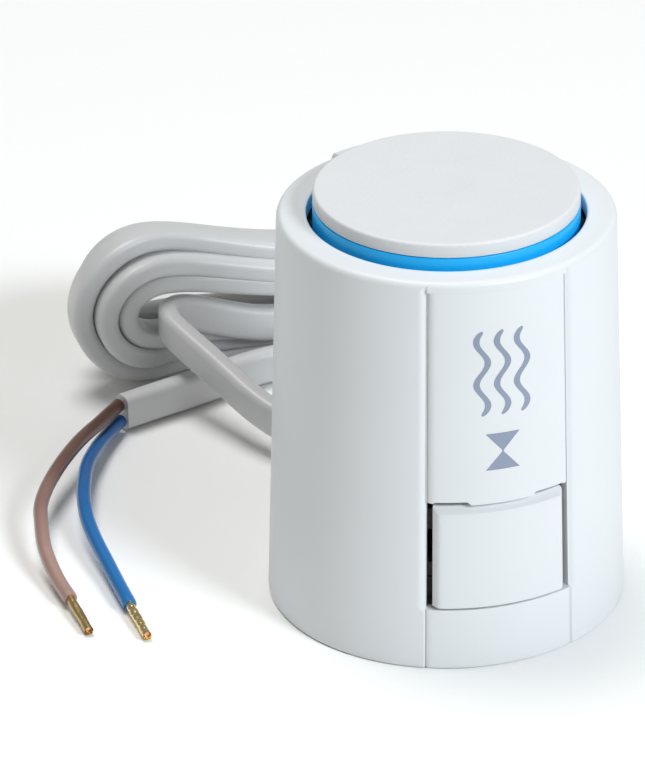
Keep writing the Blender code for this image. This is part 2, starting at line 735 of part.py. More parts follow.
# ---- moving latch body --------------------------------------------------------------------------
def release_button(parent):
    """The curved button in the front window, with a rib that stands on the latch tongue."""
    low, high = BUTTON_BOTTOM, BUTTON_TOP
    half_angle = asin(BUTTON_HALF_WIDTH / (outer_radius(high) + BUTTON_PROUD))

    def outer(z):
        return outer_radius(z) + BUTTON_PROUD

    profile = [
        (outer(low) - BUTTON_THICKNESS, low), (outer(low), low), (outer(high), high),
        (outer(high) - BUTTON_THICKNESS, high),
    ]
    made = sector("release_button", profile, half_angle, -pi / 2, white_plastic(), 10, parent)
    bevel(made, BUTTON_EDGE)
    back = -(outer(high) - BUTTON_THICKNESS)
    rib = box(
        "button_rib",
        (-TONGUE_HALF_WIDTH, back - MM, LATCH_TOP + GAP),
        (TONGUE_HALF_WIDTH, -LATCH_RADIUS + 0.4 * MM, LATCH_TOP + GAP + 1.4 * MM),
        white_plastic(),
    )
    rib.parent = parent
    return combine(made, rib, "UNION")


def latch_ring(parent):
    """The sliding plate round the socket. Its rear lip holds the adapter until it is pressed."""
    paint = frame_plastic()
    profile = [
        (0.0, LATCH_TOP), (LATCH_RADIUS, LATCH_TOP), (LATCH_RADIUS, LATCH_BOTTOM), (0.0, LATCH_BOTTOM),
    ]
    made = turned("latch_ring", profile, paint, 64, parent=parent)
    tongue = box(
        "latch_tongue",
        (-TONGUE_HALF_WIDTH, -TONGUE_REACH, LATCH_BOTTOM),
        (TONGUE_HALF_WIDTH, -LATCH_RADIUS + 2 * MM, LATCH_TOP),
        paint,
    )
    tongue.parent = parent
    combine(made, tongue, "UNION")
    hole = turned(
        "latch_hole",
        [
            (0.0, LATCH_TOP + MM), (LATCH_HOLE_RADIUS, LATCH_TOP + MM),
            (LATCH_HOLE_RADIUS, LATCH_BOTTOM - MM), (0.0, LATCH_BOTTOM - MM),
        ],
        paint,
        64,
        (0.0, LATCH_HOLE_Y),
        parent,
    )
    combine(made, hole)
    rear = box(
        "latch_rear_cut",
        (-LATCH_RADIUS, LATCH_REAR, LATCH_BOTTOM - MM),
        (LATCH_RADIUS, LATCH_RADIUS + MM, LATCH_TOP + MM),
        paint,
    )
    rear.parent = parent
    combine(made, rear)
    for side, sign in (("left", -1), ("right", 1)):
        xs = sorted((sign * (LATCH_SPRING_X - LUG_HALF_WIDTH), sign * (LATCH_SPRING_X + LUG_HALF_WIDTH)))
        lug = box(
            f"latch_lug_{side}",
            (xs[0], LUG_Y, LATCH_TOP - MM),
            (xs[1], LUG_Y + LUG_THICKNESS, LATCH_TOP + LUG_HEIGHT),
            paint,
        )
        lug.parent = parent
        combine(made, lug, "UNION")
    return made


# ---- electrical parts ---------------------------------------------------------------------------
def cable_gland():
    """The strain relief through the rear wall."""
    inner = inner_radius(CABLE_Z) - GAP
    made = box(
        "cable_gland",
        (-GLAND_HALF_SIDE, inner, CABLE_Z - GLAND_HALF_SIDE),
        (GLAND_HALF_SIDE, outer_radius(CABLE_Z) + GLAND_PROUD, CABLE_Z + GLAND_HALF_SIDE),
        material("gland_plastic", (0.80, 0.82, 0.83), 0.5),
    )
    return bevel(made, 0.5 * MM)


def cable_clamp():
    made = box(
        "cable_clamp",
        (-GLAND_HALF_SIDE, SOCKET_RADIUS + SOCKET_WALL + GAP, CABLE_Z - GLAND_HALF_SIDE),
        (GLAND_HALF_SIDE, inner_radius(CLAMP_TOP) - 3 * GAP, CLAMP_TOP),
        frame_plastic(),
    )
    return bevel(made, 0.3 * MM, 1)


def inner_leads():
    for name, sign, paint in (
        ("inner_lead_brown", -1, brown_insulation()),
        ("inner_lead_blue", 1, blue_insulation()),
    ):
        low, high = CLAMP_TOP + GAP, BRIDGE_TOP
        points = [Vector((sign * LEAD_X, LEAD_Y, low + (high - low) * i / 6)) for i in range(7)]
        tube(name, points, 2 * LEAD_RADIUS, paint)


def terminal_block():
    low = BRIDGE_TOP + GAP
    made = box(
        "terminal_block",
        (-TERMINAL_HALF_WIDTH, FLANGE_RADIUS + 2 * GAP, low),
        (TERMINAL_HALF_WIDTH, LEAD_Y + LEAD_RADIUS - GAP, TERMINAL_TOP),
        material("terminal_plastic", (0.75, 0.74, 0.70), 0.5),
    )
    return bevel(made, 0.3 * MM, 1)


def terminal_clips():
    middle = (FLANGE_RADIUS + LEAD_Y) / 2 + GAP
    clip_top = TERMINAL_TOP + GAP + CLIP_HEIGHT
    for name, sign in (("terminal_clip_brown", -1), ("terminal_clip_blue", 1)):
        made = box(
            name,
            (sign * CLIP_X - CLIP_HALF_SIZE, middle - CLIP_HALF_SIZE, TERMINAL_TOP + GAP),
            (sign * CLIP_X + CLIP_HALF_SIZE, middle + CLIP_HALF_SIZE, clip_top),
            copper_alloy(),
        )
        bevel(made, 0.2 * MM, 1)


# ---- free cable ---------------------------------------------------------------------------------
def hank():
    """The standing oblong coil's outer shape, with half-ellipse ends."""
    left, front = HANK_LEFT
    half_height = HANK_HEIGHT / 2
    outline = []
    for start, centre in ((-pi / 2, HANK_LENGTH - HANK_END_LENGTH), (pi / 2, HANK_END_LENGTH)):
        for i in range(9):
            angle = start + pi * i / 8
            outline.append(
                (centre + HANK_END_LENGTH * cos(angle), half_height + half_height * sin(angle))
            )
    sections = []
    for depth in (0.0, HANK_DEPTH):
        sections.append([(left + u, front + depth, GAP + w) for u, w in outline])
    return finish("cable_hank", loft(sections, False), cable_sheath())


def ferrule(name, route, tip):
    start = Vector(route[-1]) * MM
    end = Vector(tip) * MM
    ahead = (end - start).normalized()
    first = start + ahead * GAP
    points = [first + ahead * FERRULE_LENGTH * i / 4 for i in range(5)]
    tube(name, points, FERRULE_DIAMETER, gold_tin())


def free_cable():
    for name, route in (("cable_lead", LEAD_ROUTE), ("cable_tail", TAIL_ROUTE)):
        tube(name, smooth_route(route, 2 * CABLE_THICKNESS), CABLE_WIDTH, cable_sheath(), 3)
    hank()
    for name, route, tip, paint in (
        ("brown", BROWN_ROUTE, BROWN_TIP, brown_insulation()),
        ("blue", BLUE_ROUTE, BLUE_TIP, blue_insulation()),
    ):
        tube(f"{name}_core", smooth_route(route, 2.0 * CORE_DIAMETER), CORE_DIAMETER, paint)
        ferrule(f"{name}_ferrule", route, tip)


def empty(name, place):
    made = bpy.data.objects.new(name, None)
    made.location = place
    made.empty_display_size = 0.01
    bpy.context.scene.collection.objects.link(made)
    return made


def build():
    for existing in list(bpy.data.objects):
        bpy.data.objects.remove(existing, do_unlink=True)
    housing()
    panel("front_panel", PANEL_BOTTOM, -pi / 2)
    panel("rear_panel", REAR_PANEL_BOTTOM, pi / 2)
    base_ring()
    base_seal()
    top_seal()
    bridge()
    piston()
    spring_seat()
    main_spring()
    for side, sign in (("left", -1), ("right", 1)):
        latch_spring(side, sign)
    indicator_axis = empty("indicator_axis", (0.0, 0.0, 0.0))
    indicator_cap(indicator_axis)
    indicator_ring(indicator_axis)
    carrier(indicator_axis)
    wax_element(indicator_axis)
    stack(indicator_axis)
    plunger(indicator_axis)
    latch_axis = empty("latch_axis", (0.0, 0.0, 0.0))
    release_button(latch_axis)
    latch_ring(latch_axis)
    cable_gland()
    cable_clamp()
    inner_leads()
    terminal_block()
    terminal_clips()
    free_cable()


build()
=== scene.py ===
"""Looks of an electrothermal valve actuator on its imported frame: shell, cable, finishes and light."""

import json
from math import asin, cos, pi, radians, sin

import bpy
import numpy as np
from mathutils import Matrix, Vector


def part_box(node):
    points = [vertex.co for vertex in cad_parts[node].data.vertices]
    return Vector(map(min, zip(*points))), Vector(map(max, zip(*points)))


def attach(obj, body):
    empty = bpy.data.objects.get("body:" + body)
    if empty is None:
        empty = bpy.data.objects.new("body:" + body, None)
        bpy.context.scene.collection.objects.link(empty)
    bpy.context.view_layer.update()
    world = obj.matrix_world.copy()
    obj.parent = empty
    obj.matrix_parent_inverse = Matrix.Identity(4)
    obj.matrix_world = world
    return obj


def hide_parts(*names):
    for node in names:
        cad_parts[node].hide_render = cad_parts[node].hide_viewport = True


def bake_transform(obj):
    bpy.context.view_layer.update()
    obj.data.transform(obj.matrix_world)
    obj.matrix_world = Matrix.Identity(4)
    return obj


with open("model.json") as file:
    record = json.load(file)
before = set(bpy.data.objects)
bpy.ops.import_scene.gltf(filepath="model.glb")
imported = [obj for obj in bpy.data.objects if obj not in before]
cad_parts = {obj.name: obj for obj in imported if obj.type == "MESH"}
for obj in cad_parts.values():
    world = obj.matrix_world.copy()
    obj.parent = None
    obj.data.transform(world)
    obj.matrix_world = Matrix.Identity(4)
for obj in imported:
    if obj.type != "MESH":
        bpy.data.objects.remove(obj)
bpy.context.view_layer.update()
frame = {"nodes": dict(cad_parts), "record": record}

MM = 0.001

# ---- sizes --------------------------------------------------------------------------------------
def corners(node):
    """The low and the high corner of a frame node's box."""
    return [np.array(corner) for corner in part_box(node)]


housing_high = corners("housing")[1]
cap_low, cap_high = corners("indicator_cap")
ring_low, ring_high = corners("indicator_ring")
button_low, button_high = corners("release_button")
panel_low, panel_high = corners("front_panel")
back_low = corners("rear_panel")[0]
gland_low, gland_high = corners("cable_gland")

FRONT = -pi / 2
REAR = pi / 2

# The conical housing.
BASE_RADIUS = housing_high[0]
HOUSING_TOP = housing_high[2]
TAPER = 1.8 * MM  # how much narrower the rim is than the base
RIM_RADIUS = BASE_RADIUS - TAPER
WALL = 1.6 * MM
RIM_THICKNESS = 2.0 * MM
SHOULDER = 0.8 * MM  # the rounding between wall and rim
LIP = 0.25 * MM  # the rounding between rim and opening
BASE_BREAK = np.array([0.35, 0.16, 0.05]) * MM  # how far the three lowest rows stand back
RIM_LIFT = 0.75 * MM  # how far the rear panel's head stands above the rim

# The indicator in the housing's opening.
CAP_RADIUS = cap_high[0]
CAP_TOP = cap_high[2]
RING_RADIUS = ring_high[0]
RING_CLEARANCE = 0.8 * MM
OPENING_RADIUS = RING_RADIUS + RING_CLEARANCE
BOSS_RADIUS = 11.7 * MM
BOSS_WALL = 1.5 * MM
SLEEVE_WALL = 1.5 * MM

# The strips of the cone that hold the two panels, the window and the gland.
STRIP_HALF_ANGLE = radians(25.0)
WINDOW_GAP = 0.4 * MM
PANEL_GAP = 0.2 * MM
GLAND_GAP = 0.3 * MM
WINDOW_BOTTOM = button_low[2] - WINDOW_GAP
PANEL_BOTTOM = panel_low[2] - WINDOW_GAP
PANEL_TOP = panel_high[2] + PANEL_GAP
BACK_BOTTOM = back_low[2] - PANEL_GAP
BEVEL_DEPTH = 0.42 * MM
BEVEL_REACH = radians(2.4)
GROOVE_DEPTH = 0.32 * MM
GROOVE_REACH = radians(0.3)
PLATE_EDGE = 1.1 * MM  # how far in from its edges a panel or the button is rounded
PLATE_SIDE_GAP = radians(0.03)
SLOT_WIDTH = 0.07 * MM  # the fine gap along a panel's sides
SLOT_DEPTH = 0.3 * MM
SLOT_FLOOR = 0.92  # share of its width
SHARP_EDGE = 0.12 * MM  # the rounding of an edge that looks sharp
BUTTON_PROUD = 0.28 * MM
BUTTON_WALL = 1.8 * MM

COLUMN_PITCH = radians(1.6)  # between the columns of the housing
PLATE_PITCH = radians(1.5)  # between the columns of a panel or the button
ROW_PITCH = 1.6 * MM  # between the rows of all three
TINY = 1e-6  # metres or radians that count as nothing


# ---- camera -------------------------------------------------------------------------------------
def aim_camera():
    """A long lens at the product-shot angle, turned a little about its own axis."""
    azimuth, elevation, roll = radians(-17.0), radians(27.485), radians(-0.648)
    target = Vector((-0.01568, 0.00480, 0.02946))
    distance = 0.679745
    back = Vector((sin(azimuth) * cos(elevation), -cos(azimuth) * cos(elevation), sin(elevation)))
    right = Vector((cos(azimuth), sin(azimuth), 0.0))
    up = back.cross(right)
    across = right * cos(roll) + up * sin(roll)
    rise = up * cos(roll) - right * sin(roll)
    lens = bpy.data.cameras.new("camera")
    lens.lens = 238.5
    lens.sensor_width = 36.0
    camera = bpy.data.objects.new("camera", lens)
    turned = Matrix((across, rise, back)).transposed().to_4x4()
    camera.matrix_world = Matrix.Translation(target + back * distance) @ turned
    bpy.context.scene.collection.objects.link(camera)
    bpy.context.scene.camera = camera


# ---- shader expressions -------------------------------------------------------------------------
class Value:
    """A shader socket whose Python operators add Math nodes."""

    def __init__(self, finish, socket):
        self.finish = finish
        self.socket = socket

    def math(self, operation, first, second=0.0):
        return self.finish.node("ShaderNodeMath", {"operation": operation}, {0: first, 1: second})

    def __add__(self, other):
        return self.math("ADD", self, other)

    def __sub__(self, other):
        return self.math("SUBTRACT", self, other)

    def __mul__(self, other):
        return self.math("MULTIPLY", self, other)

    def __truediv__(self, other):
        return self.math("DIVIDE", self, other)

    def __radd__(self, other):
        return self.math("ADD", other, self)

    def __rsub__(self, other):
        return self.math("SUBTRACT", other, self)

    def __rmul__(self, other):
        return self.math("MULTIPLY", other, self)

    def least(self, other):
        return self.math("MINIMUM", self, other)

    def most(self, other):
        return self.math("MAXIMUM", self, other)


MIX_FACTOR, MIX_FIRST, MIX_SECOND, MIX_RESULT = 0, 6, 7, 2  # a Mix node's sockets for colours


class Finish:
    """A material: a Principled shader and the nodes that vary it."""

    def __init__(self, name, colour, roughness, metallic=0.0, **fixed):
        self.material = bpy.data.materials.new(name)
        self.material.use_nodes = True
        self.tree = self.material.node_tree
        self.shader = self.tree.nodes["Principled BSDF"]
        self.set("Base Color", (*colour, 1.0))
        self.set("Roughness", roughness)
        self.set("Metallic", metallic)
        for socket, value in fixed.items():
            self.set(socket.replace("_", " "), value)

    def join(self, socket, value):
        """Links a Value to a socket, or sets a constant on it."""
        if isinstance(value, Value):
            self.tree.links.new(value.socket, socket)
        else:
            socket.default_value = value

    def set(self, name, value):
        self.join(self.shader.inputs[name], value)

    def node(self, kind, settings, inputs, output=0):
        """Adds a node: its settings first, then the values or links of its sockets."""
        made = self.tree.nodes.new(kind)
        for name, setting in settings.items():
            setattr(made, name, setting)
        for name, value in inputs.items():
            self.join(made.inputs[name], value)
        return Value(self, made.outputs[output])

    def place(self):
        """The piece's own coordinates, in metres."""
        return self.node("ShaderNodeTexCoord", {}, {}, "Object")

    def part(self, vector, axis):
        return self.node("ShaderNodeSeparateXYZ", {}, {0: vector}, axis)

    def noise(self, size, detail=3.0, roughness=0.55, vector=None):
        """Noise whose grains are about size metres across."""
        where = vector or self.place()
        inputs = {"Vector": where, "Scale": 1.0 / size, "Detail": detail, "Roughness": roughness}
        return self.node("ShaderNodeTexNoise", {}, inputs, "Fac")

    def mix(self, factor, first, second):
        """Colour between first and second by the factor."""
        inputs = {MIX_FACTOR: factor, MIX_FIRST: first, MIX_SECOND: second}
        return self.node("ShaderNodeMix", {"data_type": "RGBA"}, inputs, MIX_RESULT)

    def stretched(self, vector, scale):
        """Coordinates times a scale on each axis."""
        return self.node("ShaderNodeMapping", {}, {"Vector": vector, "Scale": scale})

    def bump(self, height, depth, strength=1.0):
        """Raises the surface by height times depth metres."""
        inputs = {"Height": height, "Distance": depth, "Strength": strength}
        self.set("Normal", self.node("ShaderNodeBump", {}, inputs))


def tint(colour, factor):
    """A colour made darker or lighter, with the alpha that a socket wants."""
    return (*(min(1.0, c * factor) for c in colour), 1.0)


def moulded(name, colour, roughness, grain, depth, change):
    """Moulded plastic: spark-eroded grain, faint flow clouds in tone and gloss.

    Tone is the colour times 1 - change to 1 + change. Roughness is the given one, less 0.05,
    plus 0.1 of a patchy noise and 0.04 of the grain.
    """
    cloud_size, patch_size = 9 * MM, 2.5 * MM
    finish = Finish(name, colour, roughness)
    clouds = finish.noise(cloud_size, 2.0)
    finish.set("Base Color", finish.mix(clouds, tint(colour, 1 - change), tint(colour, 1 + change)))
    fine = finish.noise(grain * MM, 4.0, 0.65)
    finish.set("Roughness", roughness - 0.05 + 0.1 * finish.noise(patch_size) + 0.04 * fine)
    finish.bump(fine, depth * MM)
    return finish


def drawn_metal(name, colour, roughness):
    """Bright metal with drawing marks, stretched along z, and uneven polish."""
    mark_size = 0.4 * MM
    finish = Finish(name, colour, roughness, metallic=1.0)
    marks = finish.noise(mark_size, 3.0, 0.6, finish.stretched(finish.place(), (1.0, 1.0, 0.15)))
    finish.set("Base Color", finish.mix(marks, tint(colour, 0.82), tint(colour, 1.08)))
    finish.set("Roughness", roughness - 0.08 + 0.2 * marks)
    finish.bump(marks, 0.02 * MM)
    return finish


def cable_finish():
    """Pale sheath: satin, with faint lengthwise draw lines read from the cable's own UV."""
    colour = (0.61, 0.613, 0.622)
    finish = Finish("sheath", colour, 0.38, Coat_Weight=0.12, Coat_Roughness=0.3)
    uv = finish.node("ShaderNodeTexCoord", {}, {}, "UV")
    lines = finish.noise(0.25, 3.0, 0.5, finish.stretched(uv, (3.0, 60.0, 1.0)))
    clouds = finish.noise(6 * MM, 2.0)
    tone = 0.6 * clouds + 0.4 * lines
    finish.set("Base Color", finish.mix(tone, tint(colour, 0.965), tint(colour, 1.03)))
    finish.set("Roughness", 0.33 + 0.1 * clouds)
    finish.bump(lines, 0.02 * MM, 0.6)
    return finish


def core_finish(name, colour, pale):
    """Core insulation: glossy, and paler towards the free end, a painted sheen that stands in for light
    on the cores' lower runs.

    The pale share rises from 0 at y = 52 mm to 1 over the next 34 mm towards the front.
    """
    start, reach = 52 * MM, 34 * MM
    finish = Finish(name, colour, 0.3, Coat_Weight=0.35, Coat_Roughness=0.2)
    free_end = ((start - finish.part(finish.place(), 1)) / reach).most(0.0).least(1.0)
    # Painted sheen: the share of the paler colour, which stands in for light on the glossy cores towards
    # the free end.
    painted_sheen = (0.9 * free_end + 0.3 * finish.noise(7 * MM, 2.0) - 0.12).most(0.0)
    finish.set("Base Color", finish.mix(painted_sheen, (*colour, 1.0), (*pale, 1.0)))
    finish.set("Roughness", 0.24 + 0.16 * finish.noise(1.2 * MM))
    finish.bump(finish.noise(0.5 * MM), 0.015 * MM)
    return finish


# Moulded plastics: name, colour, roughness, grain size in mm, grain depth in mm, change of tone.
MOULDED = {
    "shell": ("shell_plastic", (0.735, 0.752, 0.768), 0.42, 0.35, 0.012, 0.012),
    "cap": ("cap_plastic_grain", (0.70, 0.705, 0.72), 0.5, 0.42, 0.05, 0.03),
    "blue": ("indicator_blue", (0.0, 0.46, 1.0), 0.38, 0.4, 0.006, 0.03),
    "inner": ("glass_filled_plastic", (0.28, 0.29, 0.31), 0.5, 0.3, 0.03, 0.1),
    "gland": ("gland_grey", (0.72, 0.74, 0.75), 0.48, 0.3, 0.015, 0.03),
    "terminal": ("terminal_ivory", (0.75, 0.74, 0.70), 0.5, 0.3, 0.02, 0.03),
    "rubber": ("black_rubber", (0.03, 0.03, 0.03), 0.7, 0.25, 0.03, 0.2),
    "ceramic": ("heater_ceramic_dark", (0.16, 0.15, 0.15), 0.6, 0.2, 0.03, 0.15),
    "print": ("grey_blue_ink", (0.26, 0.30, 0.40), 0.5, 0.3, 0.004, 0.06),
}

# Drawn metals: name, colour, roughness.
DRAWN = {
    "steel": ("spring_wire_steel", (0.56, 0.57, 0.58), 0.3),
    "brass": ("turned_brass", (0.83, 0.62, 0.25), 0.3),
    "copper": ("contact_copper", (0.85, 0.50, 0.32), 0.35),
    "gold": ("ferrule_gold", (0.92, 0.72, 0.36), 0.24),
    "dull_gold": ("ferrule_gold_dull", (0.58, 0.43, 0.19), 0.36),
}

# Core insulation: name, colour at the sheath, colour of the painted sheen towards the free end.
CORES = {
    "brown": ("brown_core_plastic", (0.075, 0.020, 0.010), (0.40, 0.25, 0.21)),
    "blue_core": ("blue_core_plastic", (0.0, 0.10, 0.36), (0.005, 0.155, 0.44)),
}


def make_finishes():
    """Every finish on the part, by its use."""
    return {
        **{use: moulded(*values) for use, values in MOULDED.items()},
        **{use: drawn_metal(*values) for use, values in DRAWN.items()},
        "sheath": cable_finish(),
        **{use: core_finish(*values) for use, values in CORES.items()},
    }


# ---- surfaces -----------------------------------------------------------------------------------
def make_piece(name, points, faces, finish, body, uv=None, sharp=32):
    """Makes a mesh object, smooth up to the sharp angle in degrees, and parents it to its body's empty.

    uv has a row for each point. With body None the piece rides on nothing yet.
    """
    mesh = bpy.data.meshes.new(name)
    mesh.from_pydata(points.tolist(), [], faces)
    mesh.update()
    mesh.shade_smooth()
    mesh.set_sharp_from_angle(angle=radians(sharp))
    if uv is not None:
        layer = mesh.uv_layers.new(name="along")
        corner = np.zeros(len(mesh.loops), np.int32)
        mesh.loops.foreach_get("vertex_index", corner)
        layer.data.foreach_set("uv", uv[corner].astype(np.float32).ravel())
    mesh.materials.append(finish.material)
    piece = bpy.data.objects.new(name, mesh)
    bpy.context.scene.collection.objects.link(piece)
    if body:
        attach(piece, body)
    return piece


def walled_faces(shown, around):
    """Faces of a wall between an outer and an inner grid, open where cells aren't shown.

    Each shown cell has an outer and an inner quad. Where a cell's neighbour is missing, a quad
    joins the two grids along that edge.
    """
    rows, columns = shown.shape
    points_across = rows if around else rows + 1
    index = np.arange(points_across * (columns + 1)).reshape(points_across, columns + 1)
    offset = index.size
    i, j = np.nonzero(shown)
    ahead = (i + 1) % points_across
    a, b, c, d = index[i, j], index[ahead, j], index[ahead, j + 1], index[i, j + 1]
    faces = [np.stack([a, b, c, d], 1), np.stack([d, c, b, a], 1) + offset]
    framed = np.pad(shown, 1)
    if around:
        framed[0, 1:-1], framed[-1, 1:-1] = shown[-1], shown[0]
    for (di, dj), (start, end) in (
        ((-1, 0), (d, a)), ((1, 0), (b, c)), ((0, -1), (a, b)), ((0, 1), (c, d)),
    ):
        bare = ~framed[i + 1 + di, j + 1 + dj]
        s, e = start[bare], end[bare]
        faces.append(np.stack([e, s, s + offset, e + offset], 1))
    return np.concatenate(faces)


def walled_piece(name, outer, inner, shown, around, finish, body):
    """A piece between an outer and an inner grid of points; around says that its rows close."""
    points = np.concatenate([outer.reshape(-1, 3), inner.reshape(-1, 3)])
    return make_piece(name, points, walled_faces(shown, around).tolist(), finish, body)


def ring_of(radius, angle, height):
    """Cylindrical to Cartesian, for whole arrays."""
    radius, angle, height = np.broadcast_arrays(radius, angle, height)
    return np.stack([radius * np.cos(angle), radius * np.sin(angle), height], axis=-1)


def steps_between(edges, pitch):
    """The edges in order, with even steps of about one pitch between them."""
    runs = [
        np.linspace(a, b, max(1, int(np.ceil((b - a) / pitch))), endpoint=False)
        for a, b in zip(edges, edges[1:])
    ]
    return np.concatenate([*runs, [edges[-1]]])


def smooth_step(x):
    """0 below 0, 1 above 1, and 3x^2 - 2x^3 between."""
    x = np.clip(x, 0.0, 1.0)
    return x * x * (3 - 2 * x)


def outer_radius(z):
    """The cone: from BASE_RADIUS at the floor to RIM_RADIUS at HOUSING_TOP, in a straight line."""
    return BASE_RADIUS + (RIM_RADIUS - BASE_RADIUS) * z / HOUSING_TOP


def turned_from(angle, facing):
    """How far an angle is from a facing, either way round."""
    return np.abs((angle - facing + pi) % (2 * pi) - pi)


def edge_drop(distance, radius):
    """How far a rounded edge falls below the face, a distance in from the edge: r - sqrt(r^2 - x^2)."""
    inside = np.clip(radius - distance, 0.0, radius)
    return radius - np.sqrt(radius**2 - inside**2)


def chamfer_drop(distance, width, depth, soft):
    """A flat chamfer of that width and depth, its crest rounded over the soft length."""
    level = (width - distance) * depth / width
    return soft * np.logaddexp(0.0, level / soft)


# ---- housing shell ------------------------------------------------------------------------------
def around_lines():
    """Angles of the shell's columns: even, with close lines at the strip edges and their bevels."""
    bevel = radians(1.0)
    outside = bevel * np.array([0.0, 0.12, 0.3, 0.6, 1.0, 1.6, 2.4, 3.2])
    inside = bevel * np.array([0.12, 0.35, 0.8])
    edges = [-pi, pi]
    for facing in (FRONT, REAR):
        for side in (-1, 1):
            edge = facing + side * STRIP_HALF_ANGLE
            edges.extend([*(edge + side * outside), *(edge - side * inside)])
    for x in (gland_low[0] - GLAND_GAP, gland_high[0] + GLAND_GAP):
        edges.append(REAR - asin(x / outer_radius(gland_low[2])))
    edges = np.unique(np.round(np.array(edges), 6))
    return steps_between(edges, COLUMN_PITCH)[:-1]


def up_lines():
    """Heights of the shell's straight wall, with close lines at each opening's edges."""
    close = MM * np.array([-0.4, -0.2, -0.08, 0.0, 0.08, 0.2, 0.4])
    edges = [0.0, 0.1 * MM, 0.25 * MM, 0.45 * MM]
    for z in (WINDOW_BOTTOM, PANEL_BOTTOM, BACK_BOTTOM, PANEL_TOP):
        edges.extend(z + close)
    edges.extend([gland_low[2] - GLAND_GAP, gland_high[2] + GLAND_GAP, HOUSING_TOP - SHOULDER])
    return steps_between(np.unique(np.round(np.array(edges), 6)), ROW_PITCH)


def shell_path():
    """Radius and height along the outer face, then along the inner one.

    The outer path climbs the wall, turns over the shoulder as a quarter circle, runs in along
    the rim and turns down into the opening. The inner one is WALL inside it and stays below the
    rim's thickness.
    """
    z = up_lines()
    turn = np.linspace(0, pi / 2, 8)[1:]
    inward = np.array([0.2, 0.45, 0.62, 0.67, 0.72, 0.77, 0.82, 0.93, 1.0])
    shoulder_radius = outer_radius(HOUSING_TOP) - SHOULDER
    lip_turn = np.linspace(0, pi / 2, 5)[1:]
    radius = np.concatenate([
        outer_radius(z), shoulder_radius + SHOULDER * np.cos(turn),
        shoulder_radius + (OPENING_RADIUS + LIP - shoulder_radius) * inward,
        OPENING_RADIUS + LIP - LIP * np.sin(lip_turn),
    ])
    height = np.concatenate([
        z, HOUSING_TOP - SHOULDER + SHOULDER * np.sin(turn), np.full(len(inward), HOUSING_TOP),
        HOUSING_TOP - LIP + LIP * np.cos(lip_turn),
    ])
    radius[: len(BASE_BREAK)] -= BASE_BREAK
    inner_height = np.minimum(height, HOUSING_TOP - RIM_THICKNESS)
    inner_wall = outer_radius(inner_height) - WALL
    past_wall = height > HOUSING_TOP - SHOULDER + TINY
    inner_radius = np.where(past_wall, np.minimum(radius, inner_wall), inner_wall)
    return radius, height, inner_radius, inner_height


def strip_drop(column, height):
    """How far the shell falls beside the strips, over angle and height.

    Beside a panel or the window it is a bevel: BEVEL_DEPTH times (1 - smooth step of the angle
    to the strip) to the power 1.4. Below that it is a groove: GROOVE_DEPTH times
    exp(-(angle / GROOVE_REACH)^2).
    """
    bottom_run, top_run = 0.8 * MM, 1.0 * MM
    drop = np.zeros((len(column), len(height)))
    for facing, bottom in ((FRONT, WINDOW_BOTTOM), (REAR, BACK_BOTTOM)):
        away = turned_from(column, facing) - STRIP_HALF_ANGLE
        beside = smooth_step((height - bottom) / bottom_run + 0.5)
        fade = 1 - smooth_step((height - PANEL_TOP) / top_run)
        bevel = BEVEL_DEPTH * (1 - smooth_step(away / BEVEL_REACH)) ** 1.4
        groove = GROOVE_DEPTH * np.exp(-((away / GROOVE_REACH) ** 2))
        drop += np.where(away >= -TINY, bevel, 0.0) * beside * fade
        drop += groove * (1 - beside)
    return drop


def shell_cells(angle, height):
    """Which cells of the shell are there: all but those at the panels, the window and the gland."""
    across = (angle + np.append(angle[1:], pi)) / 2
    up = (height[1:] + height[:-1]) / 2
    shown = np.ones((len(across), len(up)), bool)
    for facing, bottom in ((FRONT, WINDOW_BOTTOM), (REAR, BACK_BOTTOM)):
        inside = turned_from(across, facing) < STRIP_HALF_ANGLE
        level = (up > bottom) & (up < PANEL_TOP)
        shown &= ~(inside[:, None] & level[None, :])
    x = outer_radius(gland_low[2]) * np.cos(across)
    inside = (np.sin(across) > 0) & (x > gland_low[0] - GLAND_GAP) & (x < gland_high[0] + GLAND_GAP)
    level = (up > gland_low[2] - GLAND_GAP) & (up < gland_high[2] + GLAND_GAP)
    return shown & ~(inside[:, None] & level[None, :])


def rim_lift(column, radius, height):
    """The rear panel's head: RIM_LIFT above the rim there, with smooth steps at its three edges."""
    side_run, inner_land, inner_run = radians(0.8), 0.8 * MM, 0.4 * MM
    rear = 1 - smooth_step((turned_from(column, REAR) - STRIP_HALF_ANGLE) / side_run)
    lift = RIM_LIFT * rear * smooth_step((height - HOUSING_TOP + SHOULDER) / SHOULDER)
    return lift * smooth_step((radius - OPENING_RADIUS - inner_land) / inner_run)


def housing_shell(finish):
    """The conical shell as two grids over (angle, path), joined where the wall is cut through."""
    angle = around_lines()
    column = angle[:, None]
    radius, height, inner_radius, inner_height = shell_path()
    radius = radius[None, :] - strip_drop(column, height)
    outer = ring_of(radius, column, height[None, :] + rim_lift(column, radius, height))
    inner = ring_of(inner_radius[None, :], column, inner_height[None, :])
    shown = shell_cells(angle, height)
    piece = walled_piece("housing_shell", outer, inner, shown, True, finish, "body")
    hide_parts("housing")


def edge_lines(low, high, radius, pitch, slot=0.0):
    """Lines from low to high, close within one edge radius of both ends and at a slot's sides."""
    close = radius * (1 - np.cos(np.linspace(0, pi / 2, 6)))
    if slot:
        close = np.concatenate([[0.0, SLOT_FLOOR * slot], slot + close])
        radius = radius + slot
    middle = steps_between([low + radius, high - radius], pitch)[1:-1]
    return np.concatenate([low + close, middle, high - close[::-1]])


